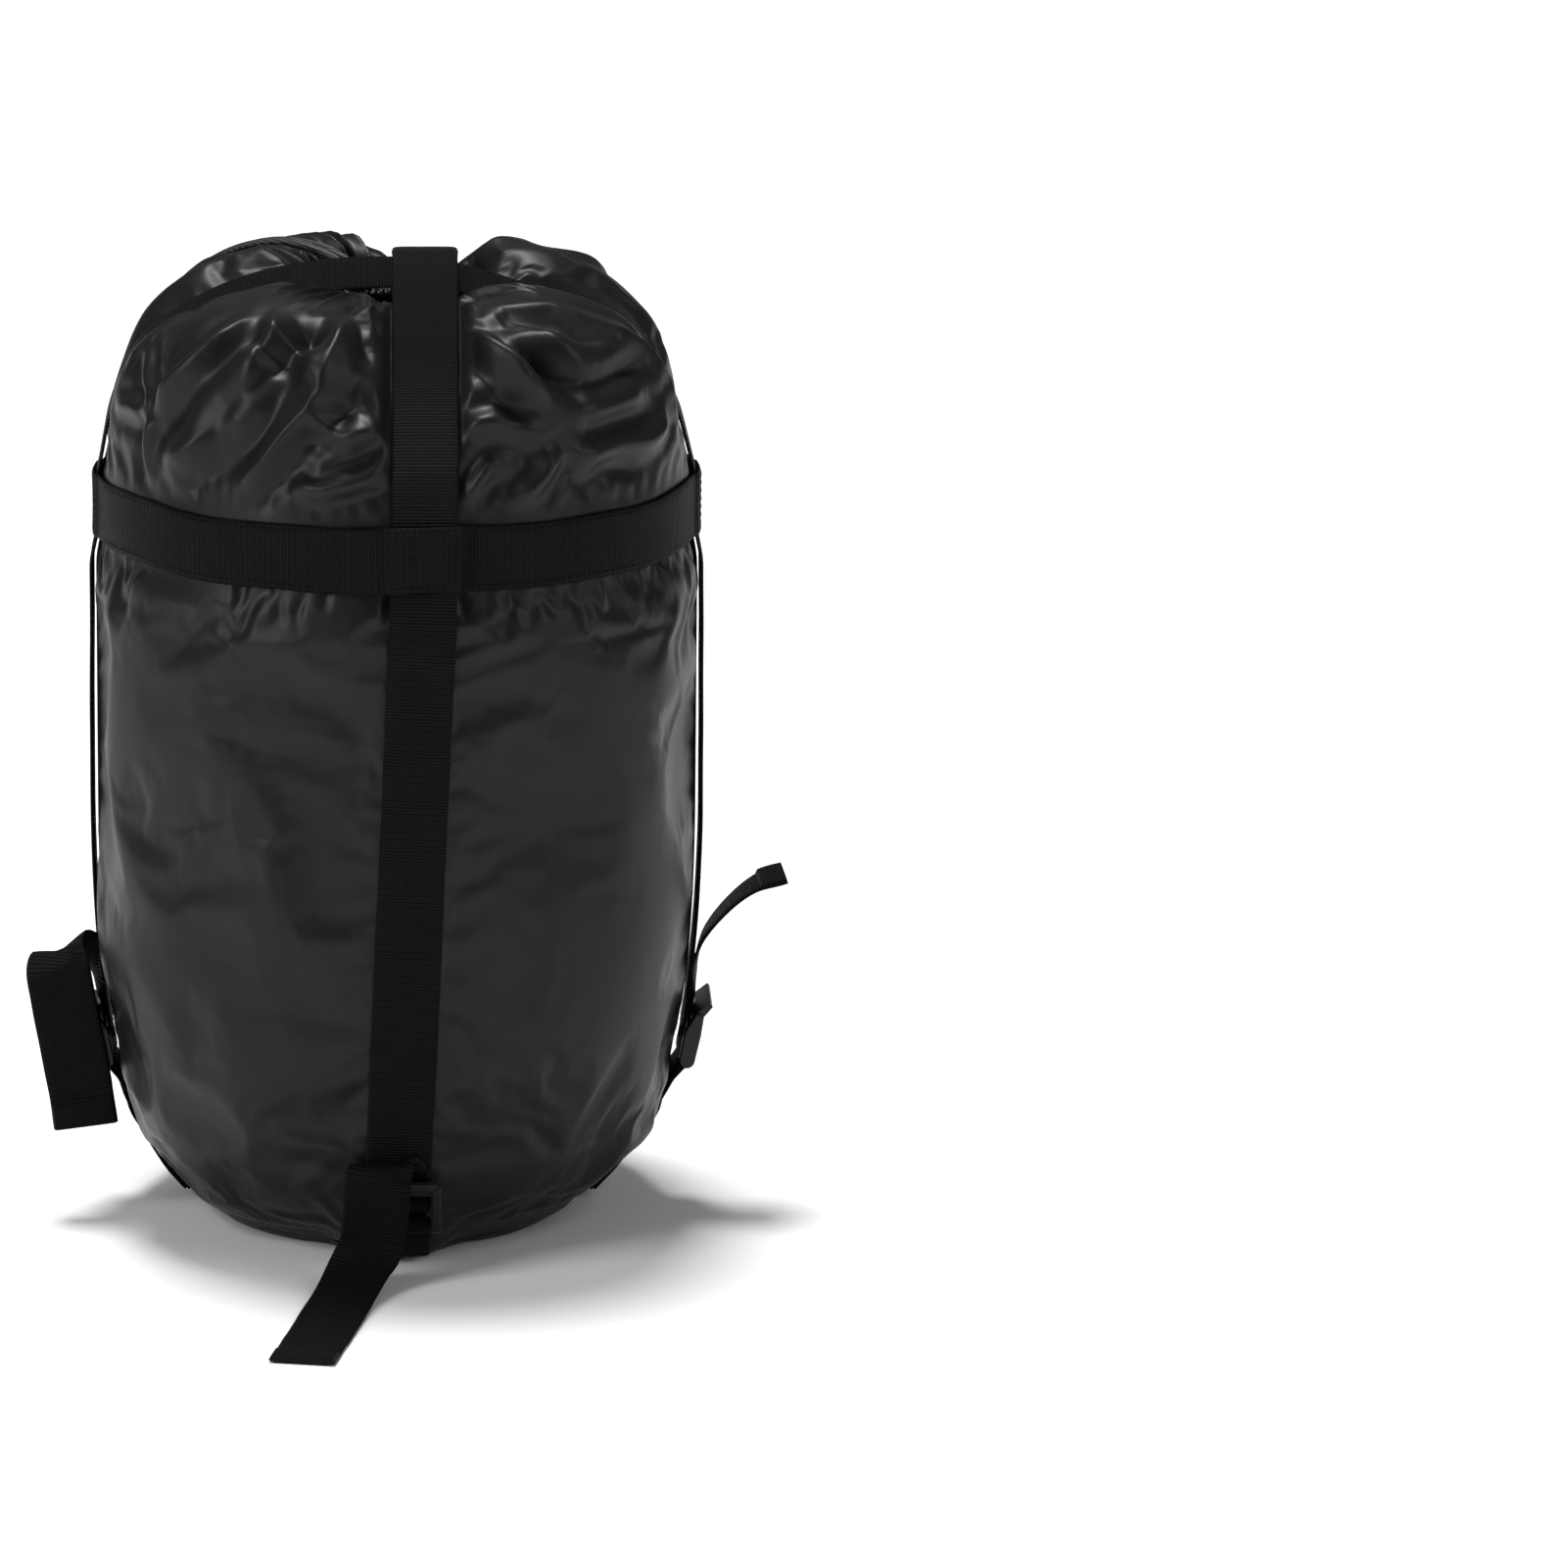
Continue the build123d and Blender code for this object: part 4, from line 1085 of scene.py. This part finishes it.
# Straps from the ring band down to the ladder locks
RUN_GAP = 1.05 * MM
SIDE_RUN_BOW = 0.6 * MM  # the side straps stand off the wall in the middle of their run
for side, azimuth in SIDES.items():
    x, y = unit(azimuth)
    low = LOCK_HEIGHTS[side]
    centre, across = [], []
    for height in np.linspace(low + 1.5 * MM, 287 * MM, 90):
        rise = (height - low) / (RING_HEIGHT - low)
        radius = float(wall_radius(height)) + RUN_GAP
        if not STRAP_LEANS[side]:
            radius += SIDE_RUN_BOW * max(math.sin(math.pi * rise), 0)
        shift = STRAP_LEANS[side] * rise
        centre.append((x * radius - y * shift, y * radius + x * shift, height))
        across.append((-y, x, 0))
    piece = strip(f"strap_{side}", centre, across, seed=azimuth % 97)
    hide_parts(f"strap_run_{side}")
    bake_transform(piece)


def strap_over(name, knots, azimuth, shift, node_name, seed):
    """One of the two straps over the top."""
    x, y = unit(azimuth)
    centre, across = [], []
    for away, height, twist in through(knots, 220):
        place = np.array([x * away, y * away, height]) * MM
        place[:2] += np.array([y, -x]) * shift
        turn = math.radians(twist)
        centre.append(place)
        across.append((-y * math.cos(turn), x * math.cos(turn), math.sin(turn)))
    piece = strip(name, centre, across, seed)
    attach(piece, "cap")
    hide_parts(node_name)


strap_over("strap_over_top_side", OVER_SIDE, 0, 0.0, "strap_over_side", 7)
strap_over("strap_over_top_front", OVER_FRONT, 90, STRAP_SHIFT, "strap_over_front", 8)

# Ring band: sewn round the sack, standing out over the straps, its ends lapped in front
BAND_START = -8.7  # degrees from the front
BAND_END = 372.1
BAND_RADIUS = 118.75
BAND_OVER_STRAP = 1.75
BAND_LAP = 1.45
STITCHED_RADIUS = 118 * MM
lean_degrees = {"front": 5.3, "back": -5.3}  # where the leaning straps pass behind the band
ring_points, ring_across = [], []
for degrees in np.linspace(BAND_START, BAND_END, 390):
    x, y = unit(degrees - 90)
    place = np.array([x, y]) * 118.9
    bulge = 0.0
    for side, azimuth in SIDES.items():
        side_x, side_y = unit(azimuth)
        offset = abs(-side_y * place[0] + side_x * place[1] - STRAP_LEANS[side] / MM)
        if side_x * place[0] + side_y * place[1] > 0:
            bulge = max(bulge, BAND_OVER_STRAP * (1 - smoothstep(12.5, 17.0, offset)))
    radius = (BAND_RADIUS + bulge + BAND_LAP * smoothstep(348.0, 352.0, degrees)) * MM
    swing = 0.5 * math.sin(math.radians(5 * degrees) + 1) + 0.35 * math.sin(math.radians(11 * degrees))
    height = RING_HEIGHT + swing * min(1, (degrees - BAND_START) / 40) * MM
    ring_points.append((x * radius, y * radius, height))
    ring_across.append((0, 0, 1))
band_rows = [((0.025, v), (-0.003, v)) for v in (-0.0105, 0.0105)]
band_rows += [cross_row(-u, 0.0095) for u in (0.003, 0.006)]
for side, azimuth in SIDES.items():
    middle = (azimuth + 90 - BAND_START) % 360 + (360 if side == "front" else 0)
    middle += lean_degrees.get(side, 0.0)
    for u in (-0.0092, 0.0092):
        band_rows.append(cross_row(math.radians(middle) * STITCHED_RADIUS + u, 0.0095))
band = strip("ring_webbing", ring_points, ring_across, seed=9, wobble=0.5, rows=band_rows)
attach(band, "cap")
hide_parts("ring_band")

# ---------------------------------------------------------------- tabs, wraps and tails

TAB_BAR = (4.0, -10.0)  # out and up in the ladder lock's directions
TAB_EYE = 2.95 * MM
TAB_LAYERS = (1.1 * MM, 2.7 * MM)  # how far the tab's two layers are from the wall
TAB_FOOT = 3.6 * MM
SIDE_TAB_TURNS = {"right": 10, "left": -10}  # their feet are sewn in further back, in degrees

for side, azimuth in SIDES.items():
    bar = in_lock(side, *TAB_BAR)
    bar_radius, bar_height = math.hypot(bar[0], bar[1]), bar[2]
    loop = []
    for height in np.linspace(TAB_FOOT, bar_height - 2.5 * MM, 16):
        loop.append((float(wall_radius(height)) + TAB_LAYERS[0], height))
    start_angle = math.atan2(loop[-1][1] - bar_height, loop[-1][0] - bar_radius)
    for turn in np.linspace(0, -300, 30):
        angle = start_angle + math.radians(turn)
        loop.append((bar_radius + TAB_EYE * math.cos(angle), bar_height + TAB_EYE * math.sin(angle)))
    for height in np.linspace(bar_height - 3.5 * MM, TAB_FOOT, 16)[1:]:
        loop.append((float(wall_radius(height)) + TAB_LAYERS[1], height))
    loop = through(np.array(loop)[::2] / MM, 90) * MM
    set_back = SIDE_TAB_TURNS.get(side, 0)
    centre, across = [], []
    for radius, height in loop:
        x, y = unit(azimuth + set_back * float(smoothstep(bar_height, 0.4 * bar_height, height)))
        if set_back:
            drawn = foot_inset(np.array([[x * radius, y * radius, height]]))[0]
            radius -= float(drawn * smoothstep(bar_height - 4 * MM, bar_height - 16 * MM, height))
        centre.append((x * radius, y * radius, height))
        across.append((-y, x, 0))
    piece = strip(f"tab_{side}", centre, across, seed=azimuth % 89, wobble=0)
    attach(piece, "base")
    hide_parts(f"lock_tab_{side}")

MIDDLE_BAR_OUT = 3.75
WRAP_RADIUS = 2.7
TAIL_HEM = 11 * MM
TAIL_SEAM = -0.0085


def wrap_points(side):
    """The strap's turn round the middle bar: from the run, under it, out and up."""
    points = []
    for turn in np.linspace(180, 450, 22):
        angle = math.radians(turn)
        points.append((MIDDLE_BAR_OUT + WRAP_RADIUS * math.cos(angle), WRAP_RADIUS * math.sin(angle)))
    points += [(3.0, 5.0), (2.6, 9.0), (2.6, 12.5)]
    return [in_lock(side, *point) for point in points]


def tail_piece(side, beyond, across_far, across_end=None):
    """The wrap and the loose tail, as one strip of webbing."""
    sideways = lock_frame(side)[3]
    path = through(np.array([*wrap_points(side), *beyond]) / MM, 320) * MM
    share = np.linspace(0, 1, len(path))
    across = np.tile(sideways, (len(path), 1))
    turn = smoothstep(0.22, 0.42, share)[:, None]
    across = across * (1 - turn) + np.array(across_far)[None, :] * turn
    if across_end is not None:
        turn = smoothstep(0.45, 1.0, share)[:, None]
        across = across * (1 - turn) + np.array(across_end)[None, :] * turn
    piece = strip(f"tail_{side}", path, across, seed=SIDES[side] % 83, wobble=0.3, hem=TAIL_HEM,
                  rows=[cross_row(TAIL_SEAM, 0.0115)], side=-1)
    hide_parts(f"strap_tail_{side}", f"strap_wrap_{side}")
    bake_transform(piece)


# The front tail folds over its lock and lies on the floor
FRONT_FOLD = [(3.4, 15.0, -3.0), (6.0, 18.8, -5.0), (10.4, 18.8, -6.6), (13.6, 13.0, -7.4)]
FRONT_TAIL = [
    (-8.2, -118, 26), (-9.6, -119.5, 16.5), (-14.5, -125, 8.5), (-21.0, -147, 2.4), (-28.6, -186, 1.3),
    (-35.6, -223, 1.3),
]
points = [in_lock("front", *p) for p in FRONT_FOLD] + [np.array(p) * MM for p in FRONT_TAIL]
tail_piece("front", points, (0.965, -0.262, 0))

# The back tail does so too, turned a little. Points: out from the lock's top, up from it
BACK_TURN = 14  # degrees
BACK_FOLD_REACH = 14
BACK_TAIL = [(2.0, 4.5), (7.0, 6.8), (12.0, 1.5), (14.5, -8), (16.5, -20)]
BACK_TAIL_FLOOR = [(24, 9), (42, 2.0), (62, 1.4), (61.5, 1.4), (82, 1.4)]  # with plain heights
x, y = unit(SIDES["back"] + BACK_TURN)
back_x, back_y = unit(SIDES["back"])
top = in_lock("back", 4.0, 14.5)
top_radius = math.hypot(top[0], top[1]) / MM
points = []
for out, height in [(out, top[2] / MM + up) for out, up in BACK_TAIL] + BACK_TAIL_FLOOR:
    straight = top_radius + min(out, BACK_FOLD_REACH)
    away = max(out - BACK_FOLD_REACH, 0)
    points.append(np.array([back_x * straight + x * away, back_y * straight + y * away, height]) * MM)
tail_piece("back", points, (-y, x, 0))

# The right tail springs up and away. Points: radius, height
RIGHT_TAIL = [(117.6, 87), (118.2, 97), (121.5, 108), (131, 120.5), (142, 129), (153.5, 132.5)]
RIGHT_TAIL_DRIFT = 0.6  # backwards, from point to point
points = [np.array([r, RIGHT_TAIL_DRIFT * k, z]) * MM for k, (r, z) in enumerate(RIGHT_TAIL)]
tail_piece("right", points, (0.12, 0.99, 0.08))

# The left tail folds over and hangs with its flat side to the front
LEFT_TAIL = [
    (-118.6, -1, 90), (-121, -4, 97), (-126.5, -10, 104), (-131.5, -15.5, 106.5), (-133.2, -19.2, 101),
    (-131.8, -20, 90), (-128.2, -20.2, 70), (-125, -20.2, 52), (-122.8, -20.2, 36),
]
tail_piece("left", [np.array(p) * MM for p in LEFT_TAIL], (0.85, 0, 0.52),
           across_end=(0.98, 0, 0.2))

# ---------------------------------------------------------------- mouth, cord and hardware

MOUTH_ROWS = 160
MOUTH_SECTION = 16
MOUTH_GATHERS = 26
MOUTH_RADIUS = 15.0
MOUTH_HEIGHT = 362.5
CHANNEL_RADIUS = 2.7
CHANNEL_TALL = 1.15  # the channel is a little taller than wide
hem_grid = np.zeros((MOUTH_ROWS, MOUTH_SECTION, 3))
for row, angle in enumerate(np.linspace(0, 2 * math.pi, MOUTH_ROWS, endpoint=False)):
    swell = CHANNEL_RADIUS + 0.5 * math.sin(MOUTH_GATHERS * angle)
    ring = MOUTH_RADIUS + 0.6 * math.sin(MOUTH_GATHERS * angle + 1)
    for column, turn in enumerate(np.linspace(0, 2 * math.pi, MOUTH_SECTION, endpoint=False)):
        away = ring + swell * math.cos(turn)
        height = MOUTH_HEIGHT + swell * CHANNEL_TALL * math.sin(turn)
        hem_grid[row, column] = (away * math.cos(angle), away * math.sin(angle), height)
hem_grid *= MM
hem = rows_object("mouth_channel", np.concatenate([hem_grid, hem_grid[:1]]))
paint(hem, nylon)
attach(hem, "cap")
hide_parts("mouth_hem")

strand_a, exit_a = cord_strand("cord_strand_a", 1)
strand_b, exit_b = cord_strand("cord_strand_b", -1)
for strand, node_name, exit_point, others in (
    (strand_a, "drawcord_a", exit_a, [nodes["cord_knot"]]),
    (strand_b, "drawcord_b", exit_b, []),
):
    paint(strand, braid)
    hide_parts(node_name)

for name, thing in nodes.items():
    if name.startswith(("ladder_lock", "lock_barrel", "lock_plunger")):
        paint(thing, plastic)
    elif name in ("cord_knot", "hem_cord"):
        paint(thing, braid)
    elif name == "lock_spring":
        paint(thing, steel)

# ---------------------------------------------------------------- floor and light

floor_mesh = bpy.data.meshes.new("floor")
floor_mesh.from_pydata([(-30, -30, 0), (30, -30, 0), (30, 30, 0), (-30, 30, 0)], [], [(0, 1, 2, 3)])
floor = bpy.data.objects.new("floor", floor_mesh)
scene.collection.objects.link(floor)
floor_paint, _, floor_shader = new_material("floor_white")
floor_shader.inputs["Base Color"].default_value = (0.93, 0.93, 0.93, 1)
floor_shader.inputs["Roughness"].default_value = 0.9
floor_shader.inputs["Specular IOR Level"].default_value = 0.1
paint(floor, floor_paint)

world = bpy.data.worlds.new("world")
scene.world = world
world.use_nodes = True
world.node_tree.nodes["Background"].inputs["Color"].default_value = (1, 1, 1, 1)
world.node_tree.nodes["Background"].inputs["Strength"].default_value = 0.13


def softbox(name, place, power):
    """A tall soft light that shines on the sack."""
    data = bpy.data.lights.new(name, "AREA")
    data.shape = "RECTANGLE"
    data.size = 0.8
    data.size_y = 1.5
    data.energy = power
    light = bpy.data.objects.new(name, data)
    light.location = place
    light.rotation_euler = (Vector((0, 0, 0.2)) - Vector(place)).to_track_quat("-Z", "Y").to_euler()
    scene.collection.objects.link(light)


softbox("left_softbox", (-1.6, -1.1, 1.25), 26)
softbox("right_softbox", (1.6, -0.9, 1.25), 10)
sun_data = bpy.data.lights.new("overhead", "SUN")
sun_data.energy = 3.35
sun_data.angle = math.radians(16)
sun = bpy.data.objects.new("overhead", sun_data)
sun.rotation_euler = (math.radians(-12), math.radians(-4), 0)
scene.collection.objects.link(sun)
scene.view_settings.view_transform = "Standard"
